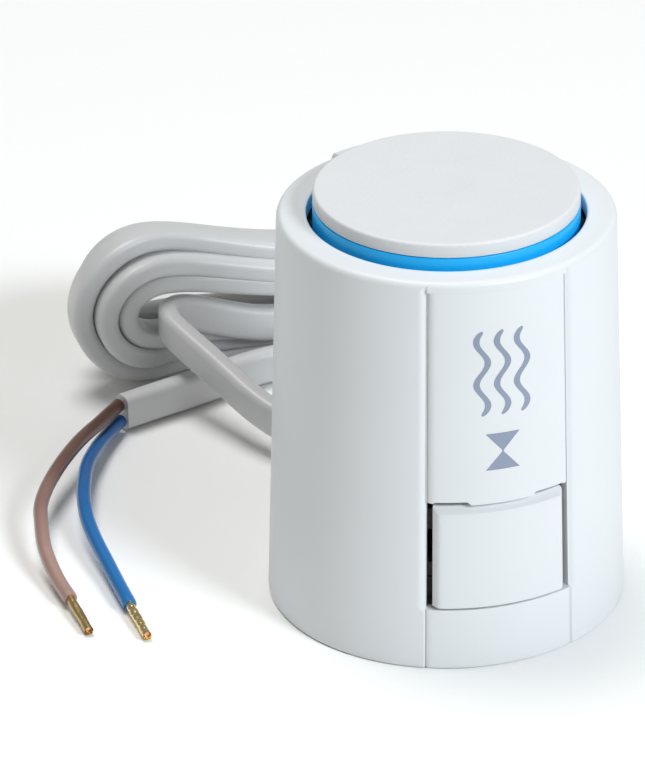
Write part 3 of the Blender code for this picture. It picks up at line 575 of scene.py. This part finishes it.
def curved_plate(
    name, half_angle, facing, low, high, radius, drop, tab, finish, body, wall=WALL, sunk=0.0
):
    """A strip of the cone between two heights.

    radius(z) is its outer face. drop(side, below, above) takes the distances in from the side,
    bottom and top edges and gives how far the face falls there. tab(angle) lowers the bottom.
    sunk is the width of the gap that drop leaves along both sides.
    """
    mean = radius((low + high) / 2)
    a = edge_lines(-half_angle, half_angle, PLATE_EDGE / mean, PLATE_PITCH, sunk / mean)
    z = edge_lines(low, high, PLATE_EDGE, ROW_PITCH)
    share = (high - z) / (high - low)
    height = z[None, :] - tab(np.abs(a))[:, None] * share[None, :]
    side = (half_angle - np.abs(a)) * mean
    fall = drop(side[:, None], (z - low)[None, :], (high - z)[None, :])
    outer = ring_of(radius(height) - fall, facing + a[:, None], height)
    inner = ring_of(radius(height) - wall, facing + a[:, None], height)
    shown = np.ones((len(a) - 1, len(z) - 1), bool)
    return walled_piece(name, outer, inner, shown, False, finish, body)


def front_tab(angle):
    """How far the label panel's bottom is lowered, at an angle from its middle.

    The middle reaches down to the button, and a slit is left open on both sides of it.
    """
    tongue, slit_end, run = radians(11.0), radians(22.2), radians(0.7)
    reach, slit = 0.3 * MM, 0.2 * MM
    middle = 1 - smooth_step((angle - tongue) / run)
    side = smooth_step((angle - slit_end) / run)
    return reach * middle - slit * (1 - middle) * (1 - side)


def panel_drop(side, below, _):
    """A shallow rounding along the sides inside a fine slot, and a sharp bottom edge."""
    shallow = 0.55
    rounded = shallow * edge_drop(side - SLOT_WIDTH, PLATE_EDGE) + edge_drop(below, SHARP_EDGE)
    floor_edge = (1 + SLOT_FLOOR) / 2 * SLOT_WIDTH
    return np.where(side < floor_edge, SLOT_DEPTH, rounded)


def panels(finish):
    """The front label panel and the plain one behind, rounded along both sides."""
    play = 0.01 * MM
    for name, node, facing, bottom, tab in (
        ("label_panel", "front_panel", FRONT, PANEL_BOTTOM, front_tab),
        ("back_panel", "rear_panel", REAR, BACK_BOTTOM + PANEL_GAP / 2, np.zeros_like),
    ):
        piece = curved_plate(
            name, STRIP_HALF_ANGLE - PLATE_SIDE_GAP, facing, bottom, PANEL_TOP - play,
            outer_radius, panel_drop, tab, finish, "body", sunk=SLOT_WIDTH,
        )
        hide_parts(node)


def button_drop(side, below, above):
    """Flat chamfers at the button's sides and top, and a sharp bottom edge."""
    width = 0.85 * MM
    sides = chamfer_drop(side, width, depth=0.8 * MM, soft=0.04 * MM)
    top = chamfer_drop(above, width, depth=1.2 * MM, soft=0.05 * MM)
    return np.maximum(sides, top) + edge_drop(below, SHARP_EDGE)


def button_face(z):
    """The button's outer face, a little proud of the cone."""
    return outer_radius(z) + BUTTON_PROUD


def push_button(finish):
    """The release button: a curved plate as wide as the frame's button."""
    play = radians(0.15)
    half_angle = asin(button_high[0] / button_face(button_high[2])) - play
    piece = curved_plate(
        "push_button", half_angle, FRONT, button_low[2], button_high[2], button_face, button_drop,
        np.zeros_like, finish, "latch", wall=BUTTON_WALL,
    )
    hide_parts("release_button")


def turned_piece(name, outline, finish, columns=240):
    """A closed outline of (radius, height), turned once round the axis, that moves with the cap."""
    radius, z = (np.concatenate([np.atleast_1d(part) for part in column]) for column in zip(*outline))
    radius, z = radius[::-1], z[::-1]
    angle = np.linspace(0, 2 * pi, columns, endpoint=False)[:, None]
    points = ring_of(radius[None, :], angle, z[None, :]).reshape(-1, 3)
    rows = len(radius)
    i, j = np.meshgrid(np.arange(columns), np.arange(rows), indexing="ij")
    i, j = i.ravel(), j.ravel()
    ahead, above = (i + 1) % columns, (j + 1) % rows
    faces = np.stack([i * rows + j, ahead * rows + j, ahead * rows + above, i * rows + above], 1)
    return make_piece(name, points, faces.tolist(), finish, "indicator")


def quarter(radius, start, steps, corner_radius, corner_z):
    """A quarter circle clockwise from the start angle, about a centre: its radii and its heights."""
    turn = start - np.linspace(0, pi / 2, steps)
    return corner_radius + radius * np.cos(turn), corner_z + radius * np.sin(turn)


def indicator(finishes):
    """The cap, a disc with a rounded upper edge and a hollow boss, and the blue sleeve under it."""
    centre = 0.02 * MM
    edge = 0.4 * MM
    bottom = ring_high[2] + SHARP_EDGE
    bore = BOSS_RADIUS - BOSS_WALL
    flat = np.linspace(2 * MM, CAP_RADIUS - 1.5 * edge, 8)
    piece = turned_piece("cap_disc", [
        (centre, CAP_TOP), (flat, np.full(len(flat), CAP_TOP)),
        quarter(edge, pi / 2, 6, CAP_RADIUS - edge, CAP_TOP - edge),
        quarter(SHARP_EDGE, 0.0, 4, CAP_RADIUS - SHARP_EDGE, bottom + SHARP_EDGE),
        (BOSS_RADIUS, bottom), (BOSS_RADIUS, cap_low[2]), (bore, cap_low[2]), (bore, bottom),
        (centre, bottom),
    ], finishes["cap"])
    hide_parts("indicator_cap")

    top, low, edge = ring_high[2], ring_low[2], 0.15 * MM
    inner, bore = BOSS_RADIUS + 0.3 * MM, RING_RADIUS - SLEEVE_WALL
    piece = turned_piece("blue_sleeve", [
        (inner, top), quarter(edge, pi / 2, 4, RING_RADIUS - edge, top - edge),
        (RING_RADIUS, low), (bore, low), (bore, top - SLEEVE_WALL), (inner, top - SLEEVE_WALL),
    ], finishes["blue"])
    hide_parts("indicator_ring")


# ---- printed symbol -----------------------------------------------------------------------------
def printed(name, across, height, finish):
    """A thin ink layer on the front panel. across and height are grids of surface coordinates."""
    ink = 0.03 * MM
    radius = outer_radius(height)
    angle = FRONT + across / radius
    outer = ring_of(radius + ink, angle, height)
    inner = ring_of(radius - ink, angle, height)
    shown = np.ones((across.shape[0] - 1, across.shape[1] - 1), bool)
    walled_piece(name, outer, inner, shown, False, finish, "body")


def symbol(finish):
    """Three upright heat waves over a two-triangle valve sign, all plain strokes.

    A wave is a stroke about the line across = centre + swing * sin(2 pi * height / pitch), and
    narrows at its ends as sqrt(1 - u^24), u being -1 to 1 from end to end. The valve sign's
    half width is the distance from its waist, times its slope.
    """
    stroke, swing, pitch, spacing = 0.42 * MM, 0.75 * MM, 6.0 * MM, 2.7 * MM
    low, high = 36.6 * MM, 48.6 * MM
    height = np.linspace(low, high, 61)
    side = np.linspace(-1, 1, 5)[:, None]
    tip = np.sqrt(1 - np.clip(np.abs(2 * (height - low) / (high - low) - 1), 0, 0.999) ** 24)
    for number, place in enumerate((-1, 0, 1)):
        line = place * spacing + swing * np.sin(2 * pi * (height - low) / pitch)
        across = line[None, :] + side * stroke * tip[None, :]
        printed(f"heat_wave_{number + 1}", across, np.broadcast_to(height, across.shape), finish)
    waist, reach, half_base, half_waist = 31.4 * MM, 2.6 * MM, 2.3 * MM, 0.12 * MM
    upward = np.linspace(-1, 1, 41)
    half_width = np.maximum(np.abs(upward) * half_base, half_waist)
    across = np.linspace(-1, 1, 9)[:, None] * half_width[None, :]
    printed("valve_sign", across, np.broadcast_to(waist + reach * upward, across.shape), finish)


# ---- cable --------------------------------------------------------------------------------------
CABLE_WIDTH = 5.2 * MM
CABLE_THICKNESS = 3.0 * MM
CABLE_CORNER = 1.05 * MM
CABLE_HEIGHT = 6.0 * MM  # where the gland lets it out
CORE_RADIUS = 1.0 * MM
FERRULE_RADIUS = 0.62 * MM
FERRULE_BORE = 0.46 * MM
FERRULE_LENGTH = 8.6 * MM
FERRULE_OVERLAP = 0.6 * MM  # how much of it is inside the insulation
STRANDS_RADIUS = 0.43 * MM
UV_SCALE = 100  # UV units to a metre along a cable
CABLE_PITCH = 0.9 * MM  # between the rings of the sheath
CORE_PITCH = 0.5 * MM  # between the rings of a core
HANK_CORNER = np.array([-34.3, 66.3, 0.3]) * MM
HANK_BACK = np.array([0.0, 1.0, 0.0])
UPRIGHT = np.array([0.0, 0.0, 1.0])

# Routes of the free cable, in millimetres, as in the part.
LEAD_ROUTE = (
    (0, 26.0, 6.0), (-1.0, 30.5, 5.8), (-5.6, 34.6, 5.3), (-10.2, 38.6, 5.5), (-13.8, 44.6, 6.9),
    (-16.6, 51.6, 8.8), (-19.4, 58.4, 10.5), (-21.2, 63.3, 11.7),
)
TAIL_ROUTE = (
    (32.0, 62.0, 2.9), (20.0, 62.4, 2.9), (8.0, 62.9, 2.9), (-4.0, 63.2, 2.9), (-10.7, 61.8, 2.9),
    (-18.3, 59.1, 2.9), (-24.8, 57.1, 2.9), (-30.1, 55.3, 2.9),
)
BROWN_ROUTE = (
    (-30.7, 55.4, 4.0), (-34.7, 50.2, 4.6), (-39.0, 45.1, 5.0), (-43.0, 39.8, 4.9),
    (-46.4, 34.6, 4.5), (-48.6, 30.1, 4.1), (-49.5, 26.5, 3.8), (-50.6, 20.8, 3.1),
    (-50.8, 16.3, 2.4), (-50.6, 12.3, 1.7), (-50.2, 8.3, 1.4),
)
BLUE_ROUTE = (
    (-30.6, 54.9, 1.7), (-34.2, 49.8, 2.3), (-36.8, 45.4, 2.9), (-39.2, 40.7, 3.3),
    (-41.2, 34.9, 3.5), (-42.3, 30.8, 3.4), (-43.1, 25.9, 3.0), (-43.3, 21.0, 2.5),
    (-43.2, 15.5, 2.0), (-43.1, 10.6, 1.5), (-43.0, 4.6, 1.2),
)
BROWN_TIP = (-49.8, 0.3, 0.8)
BLUE_TIP = (-42.8, -3.5, 0.8)
# The strand that runs into the hank's hollow and the one that leaves it: (along, up, depth) in mm.
STRAND_IN = (
    (14.4, 11.6, -0.4), (16.6, 11.2, 0.7), (23.4, 8.7, 0.9), (29.8, 6.9, 1.0), (36.0, 7.0, 2.4),
    (44.0, 9.4, 6.0), (52.0, 11.0, 9.2),
)
STRAND_OUT = ((63.4, 16.6, 1.6), (68.6, 13.2, -0.4), (70.2, 8.8, -2.4), (68.8, 4.8, -3.8))


# The hank, a flat coil on edge, in its own along, up and depth. Turns are counted from the first.
HANK_LEFT, HANK_RIGHT, HANK_MIDDLE = 14.0 * MM, 60.0 * MM, 12.5 * MM
HANK_HALF_HEIGHT = 11.0 * MM
HANK_LEFT_END, HANK_RIGHT_END = 12.5 * MM, 11.7 * MM  # how far the outer turn's ends reach
TURN_PITCH = 3.1 * MM
TURN_INSETS = np.array([2.9, 1.9, 0.9, 0, 1, 2]) * TURN_PITCH
TURN_DEPTHS = np.array([9.6, 9.6, 10.8, 5.1, 2.6, 2.9]) * MM
TURN_KNOTS = np.array([0.0, 0.11, 0.39, 0.61, 0.89, 1.0])  # phases where a turn's parts meet
SAG = 0.32
SWING = 3.3 * MM


def in_hank(along, up, depth):
    """Hank coordinates to the frame: the upper side sinks to the right, the left end swings forward.

    Heights above low_side shrink by SAG times a smooth step over 36 mm, and less below it.
    Depths fall by SWING, which ends in a smooth step over 16 mm.
    """
    start, low_side = 4 * MM, 9 * MM
    sunk = 1 - SAG * smooth_step((along - start) / (36 * MM))
    forward = SWING * (1 - smooth_step((along - start) / (16 * MM)))
    up = up * np.where(up > low_side, sunk, 1 - (1 - sunk) * np.clip(up / low_side, 0, 1))
    return HANK_CORNER + np.column_stack([along, depth - forward, up])


def turn_line(phase, inset):
    """A turn: quarter ellipse, straight run, half ellipse, straight run, quarter ellipse.

    The phase runs from the right end down, left along the bottom, up round the left end and
    back along the top. Half height and reach shrink by the inset, or by 0.95 or 0.7 of it.
    """
    half_height = HANK_HALF_HEIGHT - inset
    left_end, right_end = HANK_LEFT_END - 0.95 * inset, HANK_RIGHT_END - 0.7 * inset
    part = np.clip(np.searchsorted(TURN_KNOTS, phase, side="right") - 1, 0, len(TURN_KNOTS) - 2)
    share = (phase - TURN_KNOTS[part]) / (TURN_KNOTS[part + 1] - TURN_KNOTS[part])
    turn = share * pi / 2
    along = np.choose(part, [
        HANK_RIGHT + right_end * np.cos(turn), HANK_RIGHT + (HANK_LEFT - HANK_RIGHT) * share,
        HANK_LEFT - left_end * np.sin(2 * turn), HANK_LEFT + (HANK_RIGHT - HANK_LEFT) * share,
        HANK_RIGHT + right_end * np.sin(turn),
    ])
    up = np.choose(part, [
        HANK_MIDDLE - half_height * np.sin(turn), HANK_MIDDLE - half_height,
        HANK_MIDDLE - half_height * np.cos(2 * turn), HANK_MIDDLE + half_height,
        HANK_MIDDLE + half_height * np.cos(turn),
    ])
    return along, up


def hank_turns():
    """Five turns as one winding: two at the back going outwards, three in front going inwards.

    Inset and depth pass from turn to turn by smooth steps at the right end. Along the floor the
    front turns stand 2.4 mm further back and the others 0.6 mm, by smooth steps again.
    """
    first, last, per_turn, change_share = -0.10, 4.885, 96, 0.2
    phase = np.arange(first, last, 1 / per_turn)
    boundary = np.arange(len(TURN_INSETS) - 1)[:, None]
    change = smooth_step((phase[None, :] - boundary) / change_share + 0.5)
    inset = TURN_INSETS[0] + (np.diff(TURN_INSETS)[:, None] * change).sum(0)
    depth = TURN_DEPTHS[0] + (np.diff(TURN_DEPTHS)[:, None] * change).sum(0)
    along, up = turn_line(phase % 1.0, inset)
    low_run = smooth_step((along - 8 * MM) / (12 * MM)) * smooth_step((9 * MM - up) / (6 * MM))
    depth += low_run * np.where(depth < 4 * MM, 2.4 * MM, 0.6 * MM)
    return along, up, depth


def spline_through(points, per_span=8):
    """Catmull-Rom through the points, per_span samples to a span, whole arrays at a time.

    Between b and c, with a before and d after, it is half of
    2b + (c - a) t + (2a - 5b + 4c - d) t^2 + (3b - a - 3c + d) t^3.
    """
    p = np.asarray(points, float)
    p = np.vstack([2 * p[0] - p[1], p, 2 * p[-1] - p[-2]])
    a, b, c, d = (p[k : len(p) - 3 + k, None, :] for k in range(4))
    t = np.linspace(0, 1, per_span, endpoint=False)[None, :, None]
    curve = 0.5 * (
        2 * b + (c - a) * t + (2 * a - 5 * b + 4 * c - d) * t**2 + (3 * b - a - 3 * c + d) * t**3
    )
    return np.vstack([curve.reshape(-1, p.shape[1]), p[-2]])


def evenly(points, pitch):
    """The same line with its samples one pitch apart, all columns carried along."""
    length = np.concatenate([[0], np.cumsum(np.linalg.norm(np.diff(points[:, :3], axis=0), axis=1))])
    at = np.linspace(0, length[-1], int(round(length[-1] / pitch)) + 1)
    return np.column_stack([np.interp(at, length, column) for column in points.T]), length[-1]


def relaxed(points, passes):
    """Rounds corners: each inner sample moves to the mean of itself and its neighbours."""
    for _ in range(passes):
        points = np.vstack([points[:1], (points[:-2] + 2 * points[1:-1] + points[2:]) / 4, points[-1:]])
    return points


def swept(points, wide, section, ahead=None):
    """Rings of a section carried along a line.

    wide is the wanted direction of the section's first axis, made square to the line at every
    sample; the second axis is square to both. ahead is the line's direction, if it is known.
    """
    if ahead is None:
        ahead = np.gradient(points, axis=0)
        ahead /= np.linalg.norm(ahead, axis=1)[:, None]
    ahead = np.broadcast_to(ahead, points.shape)
    wide = wide - (wide * ahead).sum(1)[:, None] * ahead
    wide /= np.linalg.norm(wide, axis=1)[:, None]
    thin = np.cross(ahead, wide)
    return points[:, None, :] + section[..., :1] * wide[:, None, :] + section[..., 1:2] * thin[:, None, :]


def tube_piece(name, rings, finish, body, length):
    """Rings joined into a closed tube with flat ends, and UV as (share round, length along)."""
    count, sides = rings.shape[:2]
    index = np.arange(count * sides).reshape(count, sides)
    following = np.roll(index, -1, axis=1)
    quads = np.stack([index[:-1], following[:-1], following[1:], index[1:]], -1).reshape(-1, 4)
    points = np.vstack([rings.reshape(-1, 3), rings[[0, -1]].mean(axis=1)])
    first, last = np.full(sides, count * sides), np.full(sides, count * sides + 1)
    start = np.column_stack([following[0], index[0], first])
    stop = np.column_stack([index[-1], following[-1], last])
    share = np.tile(np.arange(sides) / sides, count)
    along = np.repeat(np.linspace(0, length, count), sides) * UV_SCALE
    uv = np.vstack([np.column_stack([share, along]), [[0, 0], [0, length * UV_SCALE]]])
    faces = [*quads.tolist(), *start.tolist(), *stop.tolist()]
    return make_piece(name, points, faces, finish, body, uv, sharp=50)


def flat_section(width, thickness, corner, steps=5):
    """A rectangle with rounded corners, as offsets on two axes, anticlockwise."""
    arcs = []
    for centre_x, centre_y, start in ((1, 1, 0.0), (-1, 1, pi / 2), (-1, -1, pi), (1, -1, 1.5 * pi)):
        turn = start + np.linspace(0, pi / 2, steps)
        x = centre_x * (width / 2 - corner) + corner * np.cos(turn)
        y = centre_y * (thickness / 2 - corner) + corner * np.sin(turn)
        arcs.append(np.column_stack([x, y]))
    return np.vstack(arcs)


def cable_line():
    """The whole cable: lead, strand in, hank, strand out and tail, and the twist of each sample.

    The twist is 0 where the wide side stands upright, along the lead and the tail, and 1 where
    it lies across the hank's depth. Between them it changes by a smooth step.
    """
    def nearest(line, point):
        return np.linalg.norm(line - point, axis=1).argmin()

    turns = in_hank(*hank_turns())
    strand_in, strand_out = (
        HANK_CORNER + np.array(strand)[:, [0, 2, 1]] * MM for strand in (STRAND_IN, STRAND_OUT)
    )
    start = spline_through(np.vstack([np.array(LEAD_ROUTE) * MM, strand_in, turns[:3]]))
    end = spline_through(np.vstack([turns[-3:], strand_out, np.array(TAIL_ROUTE) * MM]))
    entry, twist_from = nearest(start, turns[0]), nearest(start, strand_in[4])
    leave, twist_to = nearest(end, turns[-1]), nearest(end, strand_out[3])
    twist_in = smooth_step((np.arange(entry) - twist_from) / (entry - twist_from))
    twist_out = 1 - smooth_step((np.arange(leave, len(end)) - leave) / (twist_to - leave))
    line = np.vstack([
        np.column_stack([start[:entry], twist_in]),
        np.column_stack([turns, np.ones(len(turns))]),
        np.column_stack([end[leave + 1 :], twist_out[1:]]),
    ])
    line, length = evenly(line, CABLE_PITCH)
    return relaxed(line, 10), length


def flat_cable(finish):
    """The flat cable: a rounded rectangle carried along the cable's line."""
    line, length = cable_line()
    points, twist = line[:, :3], line[:, 3:]
    wide = (1 - twist) * UPRIGHT + twist * HANK_BACK
    section = flat_section(CABLE_WIDTH, CABLE_THICKNESS, CABLE_CORNER)
    rings = swept(points, wide, section[None, :, :])
    piece = tube_piece("flat_cable", rings, finish, "body", length)
    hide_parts("cable_lead", "cable_hank", "cable_tail")
    length = np.linalg.norm(np.diff(points, axis=0), axis=1).sum()


def round_section(radius, sides=20):
    """A circle as offsets on two axes."""
    turn = np.linspace(0, 2 * pi, sides, endpoint=False)
    return np.column_stack([radius * np.cos(turn), radius * np.sin(turn)])


def crimped_sleeve(name, end, ahead, metal, pressed):
    """A crimped ferrule from inside the insulation outwards, hollow at its free end.

    Its radius is the full one times (1 - pressed * exp(-(u / width)^2)), u being the distance
    from the middle of a crimp as a share of the crimps' pitch, and times three shallow lobes
    that turn along it.
    """
    sides, crimps, width = 24, 6.0, 0.16
    t = np.linspace(0, 1, 60)[:, None]
    sleeve = end - ahead * FERRULE_OVERLAP + t * ahead * FERRULE_LENGTH
    from_crimp = (t * crimps - 0.9) % 1.0 - 0.5
    crimp = 1 - pressed * np.exp(-(from_crimp / width) ** 2) * (t > 0.2) * (t < 0.9)
    lobes = 1 + 0.05 * np.sin(3 * np.linspace(0, 2 * pi, sides, endpoint=False) + 9 * t)
    outside = round_section(FERRULE_RADIUS, sides)[None] * (crimp * lobes)[:, :, None]
    bore = sleeve[-1] - np.array([0.25, 0.7])[:, None] * ahead * MM
    hollow = np.broadcast_to(round_section(FERRULE_BORE, sides), (len(bore), sides, 2))
    points = np.vstack([sleeve, bore])
    rings = swept(points, UPRIGHT, np.concatenate([outside, hollow]), ahead)
    return tube_piece(f"{name}_sleeve", rings, metal, "body", FERRULE_LENGTH), sleeve[-1]


def strand_bundle(name, mouth, ahead, metal):
    """The copper strands' end, a short rod with a broken edge just inside the ferrule's mouth."""
    behind = np.array([0.64, 0.44, 0.34])[:, None] * MM
    shrink = np.array([1.0, 1.0, 0.8])[:, None, None]
    section = round_section(STRANDS_RADIUS, 18)[None] * shrink
    rings = swept(mouth - behind * ahead, UPRIGHT, section, ahead)
    return tube_piece(f"{name}_strands", rings, metal, "body", 1 * MM)


def core(name, route, tip, finish, metal, strands, pressed):
    """One insulated core, a round section along its route, with its ferrule and strands.

    The insulation's cut end is drawn in to a share of its radius.
    """
    cut_end = 0.93
    line, length = evenly(spline_through(np.array(route) * MM), CORE_PITCH)
    line = relaxed(line, 6)
    radius = np.ones(len(line))
    radius[-1] = cut_end
    section = round_section(CORE_RADIUS)[None, :, :] * radius[:, None, None]
    rings = swept(line, UPRIGHT, section)
    insulation = tube_piece(f"{name}_insulation", rings, finish, "body", length)
    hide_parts(f"{name}_core")
    ahead = np.array(tip) * MM - line[-1]
    ahead /= np.linalg.norm(ahead)
    ferrule, mouth = crimped_sleeve(name, line[-1], ahead, metal, pressed)
    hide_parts(f"{name}_ferrule")
    wires = strand_bundle(name, mouth, ahead, strands)


def strain_relief(finish):
    """A ribbed boot through the rear wall: a rounded rectangle that narrows to the cable."""
    along = np.array([0.0, 0.1, 0.35, 0.55, 0.6, 0.66, 0.72, 0.78, 0.84, 0.9, 0.96, 1.0])
    narrow = np.array([1, 1, 1, 1, 1.0, 0.93, 0.98, 0.90, 0.95, 0.87, 0.9, 0.84])
    flat, corner, length = 0.8, 1.2 * MM, 4 * MM
    size = gland_high - gland_low
    rings = []
    for share, y in zip(narrow, gland_low[1] + size[1] * along):
        section = flat_section(size[2] * share, (size[0] * flat) * share, corner * share)
        x, z = section[:, 1], section[:, 0] + CABLE_HEIGHT
        rings.append(np.column_stack([x, np.full(len(section), y), z]))
    piece = tube_piece("strain_relief", np.array(rings), finish, "body", length)
    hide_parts("cable_gland")


# ---- springs ------------------------------------------------------------------------------------
def wire_coil(name, node, along, turns, wire, closed, finish):
    """A helix about an axis: radius * (cos 2 pi t, sin 2 pi t), rising from one end to the other.

    closed is the number of turns at each end that don't rise.
    """
    rings_per_turn, sides = 48, 14
    low, high = corners(node)
    centre = (low + high) / 2
    first, second = (axis for axis in range(3) if axis != along)
    turn = np.linspace(0, turns, int(turns * rings_per_turn) + 1)
    rise = np.clip((turn - closed) / (turns - 2 * closed), 0.0, 1.0)
    radius = (high[0] - low[0] - wire) / 2
    points = np.empty((len(turn), 3))
    points[:, first] = centre[first] + radius * np.cos(2 * pi * turn)
    points[:, second] = centre[second] + radius * np.sin(2 * pi * turn)
    points[:, along] = low[along] + wire / 2 + (high[along] - low[along] - wire) * rise
    rings = swept(points, np.eye(3)[along], round_section(wire / 2, sides)[None])
    piece = tube_piece(name, rings, finish, None, 2 * pi * radius * turns)
    start, end = centre.copy(), centre.copy()
    start[along], end[along] = low[along] + wire, high[along] - wire
    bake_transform(piece)
    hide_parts(node)


def springs(finish):
    """The main spring under the carrier, and the latch ring's two small ones."""
    up, towards_rear = 2, 1
    wire_coil("main_coil", "main_spring", up, 5.5, 1.8 * MM, 0.7, finish)
    for side in ("left", "right"):
        name, node = f"latch_coil_{side}", f"latch_spring_{side}"
        wire_coil(name, node, towards_rear, 6.0, 0.4 * MM, 0.0, finish)


# ---- finishes of the frame's own nodes ----------------------------------------------------------
# Finishes of the frame's own nodes, by the record's material slot.
NODE_FINISH = {
    "frame_plastic": "inner", "rubber": "rubber", "spring_steel": "steel", "brass": "brass",
    "copper_alloy": "copper", "heater_ceramic": "ceramic", "terminal_plastic": "terminal",
    "cap_plastic": "cap", "brown_insulation": "brown", "blue_insulation": "blue_core",
}


def finish_nodes(finishes):
    """Puts a finish on every frame node that stays in sight."""
    slots = {part["node"]: part["material_slot"] for part in frame["record"]["subparts"]}
    for name, node in frame["nodes"].items():
        finish = finishes.get(NODE_FINISH.get(slots[name]))
        if finish:
            for slot in node.material_slots:
                slot.link = "OBJECT"
                slot.material = finish.material


# ---- stage and light ----------------------------------------------------------------------------
def stage():
    """A pale sweep: a flat floor that curves up far behind as a quarter circle of BEND_RADIUS."""
    front, bend, bend_radius, half_width = -1.6, 1.2, 0.8, 2.0
    flat = np.linspace(front, bend, 15)
    turn = np.linspace(0.1, pi / 2, 12)
    depth = np.concatenate([flat, bend + bend_radius * np.sin(turn)])
    rise = np.concatenate([np.zeros(len(flat)), bend_radius - bend_radius * np.cos(turn)])
    across = np.linspace(-half_width, half_width, 9)
    x, y = np.meshgrid(across, depth, indexing="ij")
    points = np.stack([x, y, np.broadcast_to(rise - 0.02 * MM, x.shape)], -1).reshape(-1, 3)
    rows = len(depth)
    i, j = np.meshgrid(np.arange(len(across) - 1), np.arange(rows - 1), indexing="ij")
    a = (i * rows + j).ravel()
    faces = np.stack([a, a + rows, a + rows + 1, a + 1], 1)
    paper = Finish("paper", (0.94, 0.94, 0.935), 0.8)
    grain = paper.noise(0.9 * MM, 3.0)
    paper.set("Base Color", paper.mix(grain, (0.93, 0.93, 0.925, 1.0), (0.96, 0.96, 0.955, 1.0)))
    mesh = bpy.data.meshes.new("floor")
    mesh.from_pydata(points.tolist(), [], faces.tolist())
    mesh.shade_smooth()
    mesh.materials.append(paper.material)
    floor = bpy.data.objects.new("floor", mesh)
    bpy.context.scene.collection.objects.link(floor)


def area_light(name, place, target, size, power, colour):
    """A round softbox at a place, turned to a target."""
    light = bpy.data.lights.new(name, "AREA")
    light.shape = "DISK"
    light.size = size
    light.energy = power
    light.color = colour
    made = bpy.data.objects.new(name, light)
    aim = (Vector(target) - Vector(place)).to_track_quat("-Z", "Y")
    made.matrix_world = Matrix.Translation(place) @ aim.to_matrix().to_4x4()
    bpy.context.scene.collection.objects.link(made)


def lights():
    """A cool key from the front right, a large soft one overhead, and a warm even surround."""
    centre = (-0.01, 0.01, 0.03)
    cool, neutral = (0.88, 0.945, 1.0), (1.0, 1.0, 0.99)
    area_light("key_softbox", (0.45, -0.81, 0.66), centre, size=0.34, power=9.2, colour=cool)
    area_light("top_softbox", (-0.12, 0.22, 1.0), centre, size=0.5, power=6.0, colour=neutral)
    world = bpy.data.worlds.new("studio")
    world.use_nodes = True
    background = world.node_tree.nodes["Background"].inputs
    background["Color"].default_value = (1.0, 1.0, 0.93, 1.0)
    background["Strength"].default_value = 0.22
    bpy.context.scene.world = world
    bpy.context.scene.view_settings.view_transform = "Standard"


aim_camera()
finishes = make_finishes()
strain_relief(finishes["gland"])
flat_cable(finishes["sheath"])
copper = finishes["copper"]
core(
    "brown", BROWN_ROUTE, BROWN_TIP, finishes["brown"], finishes["dull_gold"],
    copper, pressed=0.03,
)
core(
    "blue", BLUE_ROUTE, BLUE_TIP, finishes["blue_core"], finishes["gold"],
    copper, pressed=0.10,
)
housing_shell(finishes["shell"])
panels(finishes["shell"])
push_button(finishes["shell"])
indicator(finishes)
symbol(finishes["print"])
springs(finishes["steel"])
finish_nodes(finishes)
stage()
lights()
